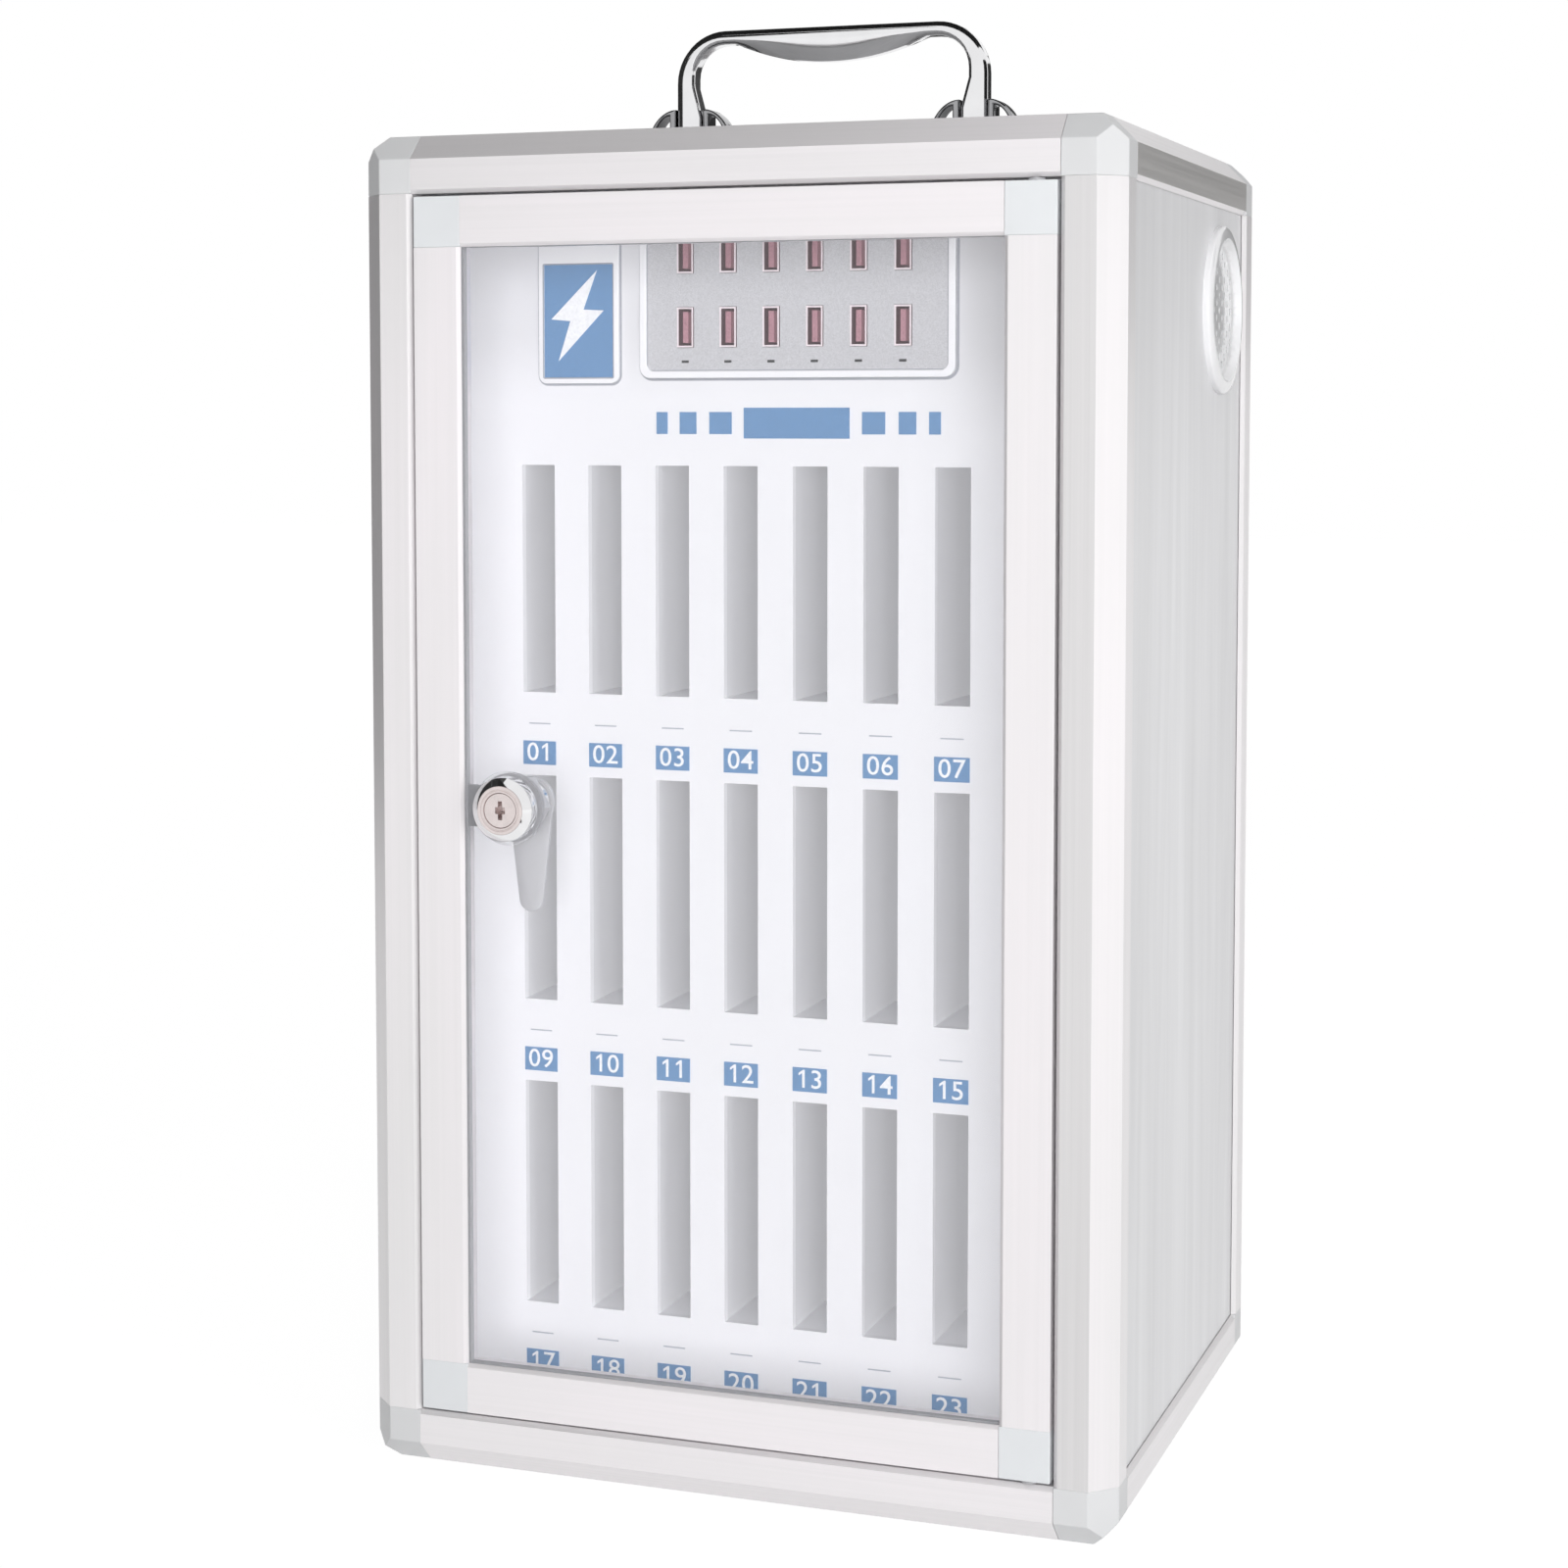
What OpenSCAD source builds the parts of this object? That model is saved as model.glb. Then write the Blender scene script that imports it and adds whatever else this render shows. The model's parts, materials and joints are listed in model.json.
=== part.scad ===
// Phone locker box: a cabinet of chamfered aluminium bars and corner connectors, closed by
// panels, with a framed clear door, a rack of numbered pockets and a charger above the rack.
// X points right, Y points back and Z points up. The origin is on the floor, under the middle
// of the cabinet. Sizes are in millimetres.

/* [Rack] */
// Number of pocket columns
columns = 8; // [7:1:12]
// Number of pocket rows
rows = 3; // [2:1:4]
// Width of each slot
slot_w = 12.8; // [10:0.2:16]
// Height of each slot
slot_h = 82.5; // [70:0.5:95]
// Depth of each pocket behind the slot panel
pocket_d = 148; // [130:1:180]
// Distance from one column of slots to the next
column_pitch = 26; // [24:0.1:32]
// Height of the beams above and between the rows
beam_h = 30.3; // [27:0.1:40]
// Margin under the bottom row of labels
base_margin = 0.2; // [0:0.1:14]
// Width of the rack beyond the outer columns, on each side
rack_margin = 26.7; // [20:0.1:40]
// Wall of the hollow beams and dividers
rack_wall = 1.5; // [1:0.1:3]
// Thickness of the slot panel and of the header panel
front_panel_t = 3; // [2:0.5:5]
// Thickness of the board behind the pockets
rack_back_t = 3; // [2:0.5:6]
// Height of the compartment above the rack
header_h = 64; // [64:1:90]
// Distance from the front of the cabinet back to the slot panel
bay_d = 53; // [38:1:70]

/* [Frame] */
// Side of the square section of each frame bar
bar = 20.5; // [18:0.5:26]
// Chamfer along the outer edge of each frame bar
bar_chamfer = 8.5; // [4:0.5:9]
// Bevel along both inner edges of each frame bar
bar_bevel = 1.5; // [0.5:0.1:1.8]
// Wall around the core of each frame bar
bar_wall = 2.5; // [1.5:0.1:3]
// Length of the connector tongues inside the bars
tongue_l = 16; // [8:1:30]

/* [Panels] */
// Thickness of the side, back, top and bottom panels
panel_t = 3; // [2:0.5:4]
// Depth of the panel faces below the frame faces
panel_recess = 2; // [1.8:0.1:3]
// Reach of the panel edges into the bars
panel_grip = 5; // [3:0.5:7]

/* [Door] */
// Gap between the door and the frame
door_gap = 1; // [1:0.1:2]
// Face width of the door bars
stile_w = 17.6; // [16:0.1:24]
// Thickness of the door
door_t = 16; // [14:0.5:19]
// Bevel along the window side of the door bars
stile_bevel = 1.3; // [0.5:0.1:1.5]
// Depth of the pane below the face of the door
pane_recess = 1.8; // [1.8:0.1:2.5]
// Thickness of the clear pane
pane_t = 3; // [2:0.5:4]
// Reach of the pane into the door bars
pane_grip = 5; // [3:0.5:7]
// Thickness of the gasket behind the pane
gasket_t = 2; // [1:0.5:3]
// Thickness of the lip of the door bars behind the gasket
stile_lip_t = 3.2; // [2:0.1:5]
// Width of the rebate behind that lip
stile_back_in = 3.5; // [1:0.1:4]
// Wall around the core of each door bar
stile_wall = 2; // [1:0.1:2.5]
// Length of the corner block tongues inside the door bars
block_tongue_l = 14; // [8:1:24]

/* [Hinge] */
// Distance from the pivot to the hinge edge of the door
pivot_in = 7.5; // [7:0.1:10]
// Distance from the pivot to the front of the door
pivot_deep = 3.2; // [3.1:0.1:3.4]
// Radius of the hinge pins
hinge_pin_r = 1.6; // [1.2:0.1:1.7]
// Length of a hinge pin inside the frame
hinge_pin_l = 10.5; // [6:0.5:12]
// Radius of the hinge bushes
bush_r = 2.3; // [2.2:0.1:2.5]
// Length of a hinge bush inside the door
bush_l = 10; // [6:0.5:12]
// Radius of the flange on a hinge bush
bush_flange_r = 2.9; // [2.7:0.1:3]

/* [Lock] */
// Distance from the window edge to the lock axis
lock_inset = 16.5; // [15:0.1:30]
// Height of the lock axis above the cabinet's middle
lock_rise = 2; // [-20:1:20]
// Radius of the clear washer under the lock
rosette_r = 12.9; // [11.5:0.1:14]
// Thickness of the clear washer
rosette_t = 1; // [0.5:0.1:2]
// Radius of the lock head at its base
lock_base_r = 11.4; // [9.5:0.1:11.4]
// Radius of the flat front of the lock head
lock_face_r = 8.4; // [7:0.1:9]
// Height of the lock head above its washer
lock_head_h = 6.5; // [6:0.5:14]
// Radius of the threaded barrel
barrel_r = 8; // [7.2:0.1:8.5]
// Radius of the turning plug
plug_r = 6; // [5:0.1:6.2]
// Thickness of the lock nut
lock_nut_t = 5; // [3:0.5:7]
// Circle around the corners of the lock nut
lock_nut_r = 12; // [11:0.1:13]
// Thickness of the backing plate
backing_t = 2; // [1:0.5:3]
// Height of the backing plate
backing_h = 14.5; // [12:0.5:20]
// Thickness of the cam
cam_t = 2; // [1.5:0.5:3]
// Width of the cam
cam_w = 14; // [11:0.5:18]
// Radius of the cam's round end
cam_boss_r = 9; // [7:0.5:10]
// Overlap of the cam and the frame post when locked
cam_catch = 4; // [2:0.5:8]

/* [Handle] */
// Width of the handle over its legs
handle_w = 120; // [100:1:150]
// Height of the handle above its pivots
handle_h = 38.5; // [34:0.5:60]
// Thickness of the handle, front to back
handle_t = 9.4; // [7:0.2:9.4]
// Width of a handle leg
leg_w = 7; // [5:0.5:8]
// Width of a handle foot, around its pin
foot_w = 10; // [8:0.5:14]
// Height of the upright foot above its pivot
foot_h = 7; // [5:0.5:9]
// Height above the pivot where the leg is at its slimmest
flare_h = 18; // [12:0.5:20]
// Radius of the outer corners of the handle
handle_corner_r = 19; // [14:0.5:20]
// Thickness of the grip at its ends
grip_end_t = 5; // [4:0.5:8]
// Drop of the swelling under the middle of the grip
grip_swell = 7.7; // [3:0.1:9]
// Half the length of the swelling
grip_swell_l = 37; // [20:1:37]
// Radius of the pins through the feet
handle_pin_r = 2; // [1.5:0.1:2.5]
// Height of the pivots above the bracket base
pivot_up = 7; // [6:0.5:9]
// Height of the bracket ears above their base
ear_h = 17; // [14:0.5:20]
// Width of a bracket ear
ear_w = 12; // [9:0.5:14]
// Wall of a bracket ear
ear_wall = 2.4; // [1.5:0.1:3]
// Depth of a bracket ear, front to back
ear_d = 9; // [6:0.5:12]
// Thickness of the bracket base
bracket_t = 2; // [1:0.5:3]
// Depth of the bracket base, front to back
bracket_d = 25; // [24:0.5:32]

/* [Slot labels] */
// Width of a number label
label_w = 12.8; // [8:0.2:20]
// Height of a number label
label_h = 8.6; // [5:0.2:12]
// Distance from a slot's bottom edge down to the middle of its label
label_drop = 22.1; // [10:0.1:23]
// Thickness of the labels and legend tiles
label_t = 0.4; // [0.2:0.1:1]

/* [Charger] */
// Width of the charger faceplate
charger_w = 116.6; // [112:0.1:130]
// Height of the charger faceplate
charger_h = 62; // [58:1:63]
// Middle of the faceplate, right of the cabinet's middle
charger_x = 7.9; // [0:0.1:20]
// Thickness of the faceplate
charger_t = 2.5; // [2:0.5:4]
// Width of the raised rim of the faceplate
charger_rim = 2.5; // [1.5:0.1:4]
// Depth of the field inside the rim
charger_field_d = 1; // [0.5:0.1:1.2]
// Radius of the faceplate corners
charger_corner_r = 4; // [2:0.5:8]
// Depth of the charger case behind the faceplate
case_d = 93; // [60:1:100]
// Margin of the faceplate around the charger case
case_margin = 3; // [2:0.5:5]
// Number of ports in a row
port_columns = 6; // [4:1:6]
// Number of port rows
port_rows = 2; // [1:1:2]
// Distance between port columns
port_pitch_x = 16.1; // [12:0.1:17]
// Distance between port rows
port_pitch_z = 26.1; // [20:0.1:28]
// Height of the lower port row above the faceplate's bottom edge
port_up = 17.9; // [14:0.1:20]
// Width of a port opening
port_w = 4.9; // [4.5:0.1:6]
// Height of a port opening
port_h = 12.9; // [12:0.1:14]
// Depth of a port
port_d = 12; // [9:0.5:16]
// Wall of a port shell
port_wall = 0.6; // [0.3:0.1:1]

/* [Charging sign] */
// Width of the sign's bezel
sign_w = 30.9; // [24:0.1:36]
// Height of the sign's bezel
sign_h = 62; // [50:1:64]
// Middle of the sign, left of the cabinet's middle
sign_left = 74.4; // [70:0.1:76]
// Thickness of the sign's bezel
sign_t = 1.6; // [1:0.1:3]
// Width of the sign's coloured field
sign_field_w = 26.6; // [20:0.1:30]
// Height of the sign's coloured field
sign_field_h = 40.2; // [30:0.1:48]

/* [Vents] */
// Radius of a vent cover
vent_r = 31; // [29:0.5:33]
// Thickness of the vent cover's flange
vent_flange_t = 1.7; // [1:0.1:2]
// Radius of the vent cover's spigot, inside the side panel
vent_spigot_r = 25.5; // [24:0.5:26]
// Radius of the crest of the vent cover's ring
vent_crest_r = 26.5; // [25.6:0.1:28]
// Height of the crest above the panel
vent_rise = 3.4; // [3:0.1:6]
// Depth of the drilled middle below the crest
vent_dish = 3.4; // [1:0.1:4]
// Wall of the vent cover
vent_wall = 1; // [0.8:0.1:2]
// Rings of holes around the middle hole of a vent
vent_rings = 4; // [3:1:4]
// Diameter of a vent hole
vent_hole_d = 2.8; // [2:0.1:3.2]
// Distance from the back of the cabinet to the middle of the vents
vent_from_back = 61; // [56:1:90]
// Distance from the top of the cabinet to the middle of the vents
vent_from_top = 58; // [54:1:59]

/* [Power inlet] */
// Width of the inlet's flange
inlet_w = 31; // [30:0.5:34]
// Height of the inlet's flange
inlet_h = 24; // [23:0.5:28]
// Depth of the inlet behind the back panel
inlet_d = 14; // [14:0.5:20]
// Radius of the lead between the inlet and the charger
lead_r = 3.3; // [2.5:0.1:4.5]

/* [Hidden] */
$fn = 64;

fit = 0.2;          // clearance of tongues and grooves
slip = 0.05;        // radial clearance of turning pins
seat = 0.02;        // radial clearance of fixed pins
rack_fit = 0.3;     // clearance of the rack against the side panels
rack_end = 0.5;     // clearance of the rack in front of the back posts

// The cabinet is as large as its rack, header and frame make it.
base_beam_h = label_drop + label_h / 2 + base_margin;
rack_w = columns * column_pitch + 2 * rack_margin;
body_w = rack_w + 2 * (rack_fit + panel_t + panel_recess);
body_d = bay_d + front_panel_t + pocket_d + rack_back_t + rack_end + bar;
body_h = 2 * bar + base_beam_h + rows * (slot_h + beam_h) + header_h;

hx = body_w / 2;
hy = body_d / 2;
core_0 = panel_recess + panel_t + bar_wall;   // the core's near side, from the outer face
core_1 = bar - bar_wall;                      // the core's far side
opening_x = hx - bar;                         // half width of the door opening

slot_panel_y = -hy + bay_d;
rack_y0 = slot_panel_y + front_panel_t;
rack_y1 = rack_y0 + pocket_d;
row_pitch = slot_h + beam_h;
first_slot_z = bar + base_beam_h;
rack_top = first_slot_z + rows * row_pitch;

// Door
door_x = opening_x - door_gap;
door_z0 = bar + door_gap;
door_z1 = body_h - bar - door_gap;
window_x = door_x - stile_w;
window_z0 = door_z0 + stile_w;
window_z1 = door_z1 - stile_w;
pane_y0 = -hy + pane_recess;
pane_y1 = pane_y0 + pane_t;
gasket_d = pane_recess + pane_t + gasket_t;
gasket_y1 = -hy + gasket_d;
stile_lip_d = gasket_d + stile_lip_t;
stile_core_0 = gasket_d + stile_wall;
stile_core_1 = door_t - stile_wall;
stile_core_w = stile_w - stile_back_in - 2 * stile_wall;
pivot = [door_x - pivot_in, -hy + pivot_deep];
bush_flange_t = door_gap - rack_fit;

// Lock
lock_x = -window_x + lock_inset;
lock_z = body_h / 2 + lock_rise;
head_y0 = pane_y0 - rosette_t - lock_head_h;
cam_y0 = -hy + bar + 0.5;
cam_y1 = cam_y0 + cam_t;
cam_reach = lock_x + opening_x + cam_catch;
tail = 7;                                     // side of the plug's square tail
cam_screw_r = 2;
cam_screw_l = 8;
cam_screw_head_r = 5.2;
cam_screw_head_t = 2;
key_slot = [1.5, 6.4];
key_bit = [3.6, 2.2];
key_d = 6;                                    // depth of the keyway

// Handle
top_z = body_h - panel_recess;
bracket_z = top_z + bracket_t;
handle_z = bracket_z + pivot_up;
foot_x = (handle_w - foot_w) / 2;
ear_gap = 0.4;
ear_x0 = foot_w / 2 + ear_gap;
bracket_w = 2 * (ear_x0 + ear_w + 2);
rivet_r = 1.6;
rivet_y = bracket_d / 2 - 3.2;

// Charger, sign and legend
charger_z0 = rack_top + 0.7;
charger_face_y = slot_panel_y - charger_t;
charger_field_y = charger_face_y + charger_field_d;
case_x = charger_w / 2 - case_margin;
case_z1 = charger_z0 + charger_h - case_margin;
ports_x = charger_x - 0.9;
port_proud = 0.3;
sign_z0 = rack_top - 1;
sign_margin = (sign_w - sign_field_w) / 2;
legend_x = charger_x;
legend_z = rack_top - beam_h / 2;
legend_bar = [39.2, 10.8];
legend_square_h = 7.8;
legend_squares = [[28.4, 8.4], [40.7, 6.3], [50.6, 4.2]];   // distance from the bar, width

// Vents and inlet
vent_y = hy - vent_from_back;
vent_z = body_h - vent_from_top;
vent_bore_r = vent_spigot_r - vent_wall;
vent_pitch = (vent_bore_r - vent_hole_d / 2 - 0.3) / vent_rings;
inlet_z = charger_z0 + charger_h / 2;
inlet_y = hy - panel_recess;                  // outer face of the back panel
inlet_body = [27, 19.6];
inlet_socket = [24.4, 16.8];
inlet_socket_d = 12.5;
inlet_flange_t = 2;
inlet_pin = [2, 4];
inlet_pins_at = [[-7, -2], [0, 2.2], [7, -2]];

// ---- helpers ----

// A box between two opposite corners
module box(p0, p1) {
    translate(p0) cube(p1 - p0);
}

// An outline in X and Z, made solid between two depths
module plate_y(y0, y1) {
    translate([0, y1, 0]) rotate([90, 0, 0]) linear_extrude(y1 - y0) children();
}

module rod_x(r, x0, x1) {
    translate([x0, 0, 0]) rotate([0, 90, 0]) cylinder(r = r, h = x1 - x0);
}

module rod_y(r, y0, y1) {
    translate([0, y1, 0]) rotate([90, 0, 0]) cylinder(r = r, h = y1 - y0);
}

module both_sides() {
    children();
    mirror([1, 0, 0]) children();
}

// A rectangle with round corners, centred
module rounded(size, r) {
    square([size.x - 2 * r, size.y], center = true);
    square([size.x, size.y - 2 * r], center = true);
    for (i = [-1, 1], j = [-1, 1])
        translate([i * (size.x / 2 - r), j * (size.y / 2 - r)]) circle(r = r);
}

// Points along an arc, angles in degrees
function arc(centre, r, from, to, steps) = [
    for (i = [0 : steps])
        let (a = from + (to - from) * i / steps) centre + r * [cos(a), sin(a)]
];

// A quarter of an ellipse standing on its centre, from the top down to the right
function quarter_ellipse(centre, a, b, steps) = [
    for (i = [0 : steps])
        let (t = 90 * (1 - i / steps)) centre + [a * cos(t), b * sin(t)]
];

// ---- frame ----

// Places what is drawn inwards from an outer corner of the cabinet at the corner (sx, sy, sz)
module at_corner(sx, sy, sz) {
    translate([sx * hx, sy * hy, sz > 0 ? body_h : 0])
        multmatrix([[-sx, 0, 0, 0], [0, -sy, 0, 0], [0, 0, -sz, 0], [0, 0, 0, 1]])
            children();
}

// Section of a frame bar, drawn inwards from its outer corner
module bar_section() {
    difference() {
        polygon([
            [bar_chamfer, 0], [bar - bar_bevel, 0], [bar, bar_bevel], [bar, bar],
            [bar_bevel, bar], [0, bar - bar_bevel], [0, bar_chamfer]
        ]);
        translate([core_0, core_0]) square(core_1 - core_0);
    }
}

// Boxes that the panels need inside the frame
module panel_grooves() {
    gx = opening_x + panel_grip + fit;
    gy = hy - bar + panel_grip + fit;
    gz0 = bar - panel_grip - fit;
    gz1 = body_h - gz0;
    px = hx - panel_recess;
    both_sides() box([px - panel_t - fit, -gy, gz0], [px + fit, gy, gz1]);
    box([-gx, hy - panel_recess - panel_t - fit, gz0], [gx, hy - panel_recess + fit, gz1]);
    box([-gx, -gy, top_z - panel_t - fit], [gx, gy, top_z + fit]);
    box([-gx, -gy, -1], [gx, gy, panel_t]);
}

module post(sx, sy) {
    color("gainsboro") difference() {
        at_corner(sx, sy, -1)
            translate([0, 0, bar]) linear_extrude(body_h - 2 * bar) bar_section();
        panel_grooves();
    }
}

module rail_x(sy, sz) {
    color("gainsboro") difference() {
        at_corner(-1, sy, sz)
            translate([bar, 0, 0]) rotate([90, 0, 90])
                linear_extrude(body_w - 2 * bar) bar_section();
        panel_grooves();
        if (sy < 0) hinge_pin_holes();
    }
}

module rail_y(sx, sz) {
    color("gainsboro") difference() {
        at_corner(sx, -1, sz)
            translate([0, bar, 0]) rotate([-90, -90, 0])
                linear_extrude(body_d - 2 * bar) bar_section();
        panel_grooves();
    }
}

// A cube with its three outer edges chamfered like the bars, and a tongue for each bar
module connector() {
    tongue = core_1 - core_0 - 2 * fit;
    at = core_0 + fit;
    intersection() {
        linear_extrude(bar) chamfered_square();
        rotate([90, 0, 90]) linear_extrude(bar) chamfered_square();
        rotate([-90, -90, 0]) linear_extrude(bar) chamfered_square();
    }
    translate([bar - 1, at, at]) cube([tongue_l + 1, tongue, tongue]);
    translate([at, bar - 1, at]) cube([tongue, tongue_l + 1, tongue]);
    translate([at, at, bar - 1]) cube([tongue, tongue, tongue_l + 1]);
}

module chamfered_square() {
    polygon([[bar_chamfer, 0], [bar, 0], [bar, bar], [0, bar], [0, bar_chamfer]]);
}

module corner_connectors(sz) {
    color("whitesmoke") difference() {
        for (sx = [-1, 1], sy = [-1, 1]) at_corner(sx, sy, sz) connector();
        panel_grooves();
    }
}

// ---- panels ----

module side_panel(s) {
    y = hy - bar + panel_grip;
    z = bar - panel_grip;
    x = hx - panel_recess;
    color("silver") scale_x(s) difference() {
        box([x - panel_t, -y, z], [x, y, body_h - z]);
        translate([0, vent_y, vent_z]) rod_x(vent_spigot_r + fit, x - panel_t - 1, x + 1);
    }
}

// Mirrors to the left when s is -1
module scale_x(s) {
    multmatrix([[s, 0, 0, 0], [0, 1, 0, 0], [0, 0, 1, 0], [0, 0, 0, 1]]) children();
}

module back_panel() {
    x = opening_x + panel_grip;
    z = bar - panel_grip;
    color("silver") difference() {
        box([-x, inlet_y - panel_t, z], [x, inlet_y, body_h - z]);
        translate([charger_x, 0, inlet_z]) plate_y(inlet_y - panel_t - 1, inlet_y + 1)
            square(inlet_body + [fit, fit], center = true);
    }
}

module top_panel() {
    x = opening_x + panel_grip;
    y = hy - bar + panel_grip;
    color("silver") difference() {
        box([-x, -y, top_z - panel_t], [x, y, top_z]);
        rivet_holes();
    }
}

module bottom_panel() {
    x = opening_x + panel_grip;
    y = hy - bar + panel_grip;
    color("silver") box([-x, -y, 0], [x, y, panel_t]);
}

// ---- door ----

// Section of a door bar, from its outer edge to the window and from its face backwards
module stile_section() {
    difference() {
        polygon([
            [0, 0], [stile_w - stile_bevel, 0], [stile_w, stile_bevel], [stile_w, stile_lip_d],
            [stile_w - stile_back_in, stile_lip_d], [stile_w - stile_back_in, door_t],
            [0, door_t]
        ]);
        translate([stile_wall, stile_core_0])
            square([stile_core_w, stile_core_1 - stile_core_0]);
    }
}

// Space that the pane and its gasket need inside the door bars
module pane_groove() {
    x = window_x + pane_grip + fit;
    z = pane_grip + fit;
    box([-x, pane_y0, window_z0 - z], [x, gasket_y1 + fit / 2, window_z1 + z]);
}

// Stile at the left (s = -1) or at the right (s = 1)
module door_stile(s) {
    color("ghostwhite") difference() {
        scale_x(s) translate([door_x, -hy, window_z0])
            multmatrix([[-1, 0, 0, 0], [0, 1, 0, 0], [0, 0, 1, 0], [0, 0, 0, 1]])
                linear_extrude(window_z1 - window_z0) stile_section();
        pane_groove();
    }
}

// Rail at the bottom (s = -1) or at the top (s = 1)
module door_rail(s) {
    color("ghostwhite") difference() {
        translate([-window_x, -hy, s > 0 ? door_z1 : door_z0])
            multmatrix([[0, 0, 1, 0], [0, 1, 0, 0], [-s, 0, 0, 0], [0, 0, 0, 1]])
                linear_extrude(2 * window_x) stile_section();
        pane_groove();
    }
}

// A corner block of the door, drawn inwards from its outer corner
module corner_block() {
    width = stile_core_w - 2 * fit;
    depth = stile_core_1 - stile_core_0 - 2 * fit;
    back_w = stile_w - stile_back_in;
    difference() {
        cube([stile_w, door_t, stile_w]);
        translate([back_w, stile_lip_d, back_w]) cube([stile_w, door_t, stile_w]);
    }
    translate([stile_w - 1, stile_core_0 + fit, stile_wall + fit])
        cube([block_tongue_l + 1, depth, width]);
    translate([stile_wall + fit, stile_core_0 + fit, stile_w - 1])
        cube([width, depth, block_tongue_l + 1]);
}

module door_corner_blocks() {
    color("aliceblue") difference() {
        for (sx = [-1, 1], sz = [-1, 1])
            translate([sx * door_x, -hy, sz > 0 ? door_z1 : door_z0])
                multmatrix([[-sx, 0, 0, 0], [0, 1, 0, 0], [0, 0, -sz, 0], [0, 0, 0, 1]])
                    corner_block();
        pane_groove();
        at_hinge_ends() translate([0, 0, -bush_l]) cylinder(r = bush_r + seat, h = bush_l + 1);
    }
}

module door_pane() {
    x = window_x + pane_grip;
    color([0.85, 0.85, 0.95, 0.3]) difference() {
        box([-x, pane_y0, window_z0 - pane_grip], [x, pane_y1, window_z1 + pane_grip]);
        translate([lock_x, 0, lock_z]) rod_y(barrel_r + fit, pane_y0 - 1, pane_y1 + 1);
    }
}

module pane_gasket() {
    x = window_x + pane_grip;
    color("dimgray") difference() {
        box([-x, pane_y1, window_z0 - pane_grip], [x, gasket_y1, window_z1 + pane_grip]);
        box([-window_x, pane_y1 - 1, window_z0], [window_x, gasket_y1 + 1, window_z1]);
    }
}

// Places what is drawn upwards from the door's edge at the top and the bottom pivot
module at_hinge_ends() {
    translate([pivot.x, pivot.y, door_z1]) children();
    translate([pivot.x, pivot.y, door_z0]) mirror([0, 0, 1]) children();
}

module hinge_pin_holes() {
    at_hinge_ends() cylinder(r = hinge_pin_r + seat, h = door_gap + hinge_pin_l);
}

module hinge_pins() {
    color("silver") at_hinge_ends() translate([0, 0, -bush_l + fit])
        cylinder(r = hinge_pin_r, h = bush_l - fit + door_gap + hinge_pin_l);
}

module hinge_bushes() {
    color("white") at_hinge_ends() difference() {
        union() {
            translate([0, 0, -bush_l]) cylinder(r = bush_r, h = bush_l);
            cylinder(r = bush_flange_r, h = bush_flange_t);
        }
        translate([0, 0, -bush_l - 1])
            cylinder(r = hinge_pin_r + slip, h = bush_l + bush_flange_t + 2);
    }
}

// ---- lock ----

module at_lock() {
    translate([lock_x, 0, lock_z]) children();
}

module lock_rosette() {
    color([0.9, 0.9, 0.95, 0.6]) at_lock() difference() {
        rod_y(rosette_r, pane_y0 - rosette_t, pane_y0);
        rod_y(barrel_r + fit, pane_y0 - rosette_t - 1, pane_y0 + 1);
    }
}

module lock_body() {
    base_y = pane_y0 - rosette_t;
    bore = plug_r + slip;
    color("silver") at_lock() rotate([-90, 0, 0]) rotate_extrude() polygon([
        [bore, head_y0], [lock_face_r, head_y0], [lock_base_r, base_y - 1],
        [lock_base_r, base_y], [barrel_r, base_y], [barrel_r, cam_y0 - 0.4],
        [bore, cam_y0 - 0.4]
    ]);
}

module lock_nut() {
    y0 = pane_y1 + backing_t;
    color("darkgray") at_lock() difference() {
        translate([0, y0 + lock_nut_t, 0]) rotate([90, 0, 0])
            cylinder(r = lock_nut_r, h = lock_nut_t, $fn = 6);
        rod_y(barrel_r + seat, y0 - 1, y0 + lock_nut_t + 1);
    }
}

// A ring under the nut, with an arm that reaches towards the stile
module lock_backing_plate() {
    arm = lock_inset - rack_fit;
    color("gray") at_lock() plate_y(pane_y1, pane_y1 + backing_t) difference() {
        union() {
            translate([-arm, -backing_h / 2]) square([arm, backing_h]);
            circle(r = lock_nut_r);
        }
        circle(r = barrel_r + seat);
    }
}

module lock_plug() {
    color("silver") at_lock() difference() {
        union() {
            rod_y(plug_r, head_y0 + 0.3, cam_y0);
            plate_y(cam_y0 - 1, cam_y1) square(tail, center = true);
        }
        plate_y(head_y0, head_y0 + key_d) {
            square(key_slot, center = true);
            square(key_bit, center = true);
        }
        rod_y(cam_screw_r + seat, cam_y1 - cam_screw_l - fit, cam_y1 + 1);
    }
}

// The cam hangs down when the door is unlocked
module lock_cam() {
    color("lightgray") at_lock() plate_y(cam_y0, cam_y1) difference() {
        union() {
            circle(r = cam_boss_r);
            translate([-cam_w / 2, -cam_reach]) square([cam_w, cam_reach]);
        }
        square(tail + 2 * slip, center = true);
    }
}

module cam_screw() {
    head_y1 = cam_y1 + cam_screw_head_t;
    cross = cam_screw_head_r * [1.9, 0.4] / 2;
    color("gray") at_lock() difference() {
        union() {
            rod_y(cam_screw_head_r, cam_y1, head_y1);
            rod_y(cam_screw_r, cam_y1 - cam_screw_l, cam_y1 + 1);
        }
        plate_y(cam_y1 + 0.4 * cam_screw_head_t, head_y1 + 1) for (a = [0, 90])
            rotate(a) square(cross, center = true);
    }
}

// ---- handle ----

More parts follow.
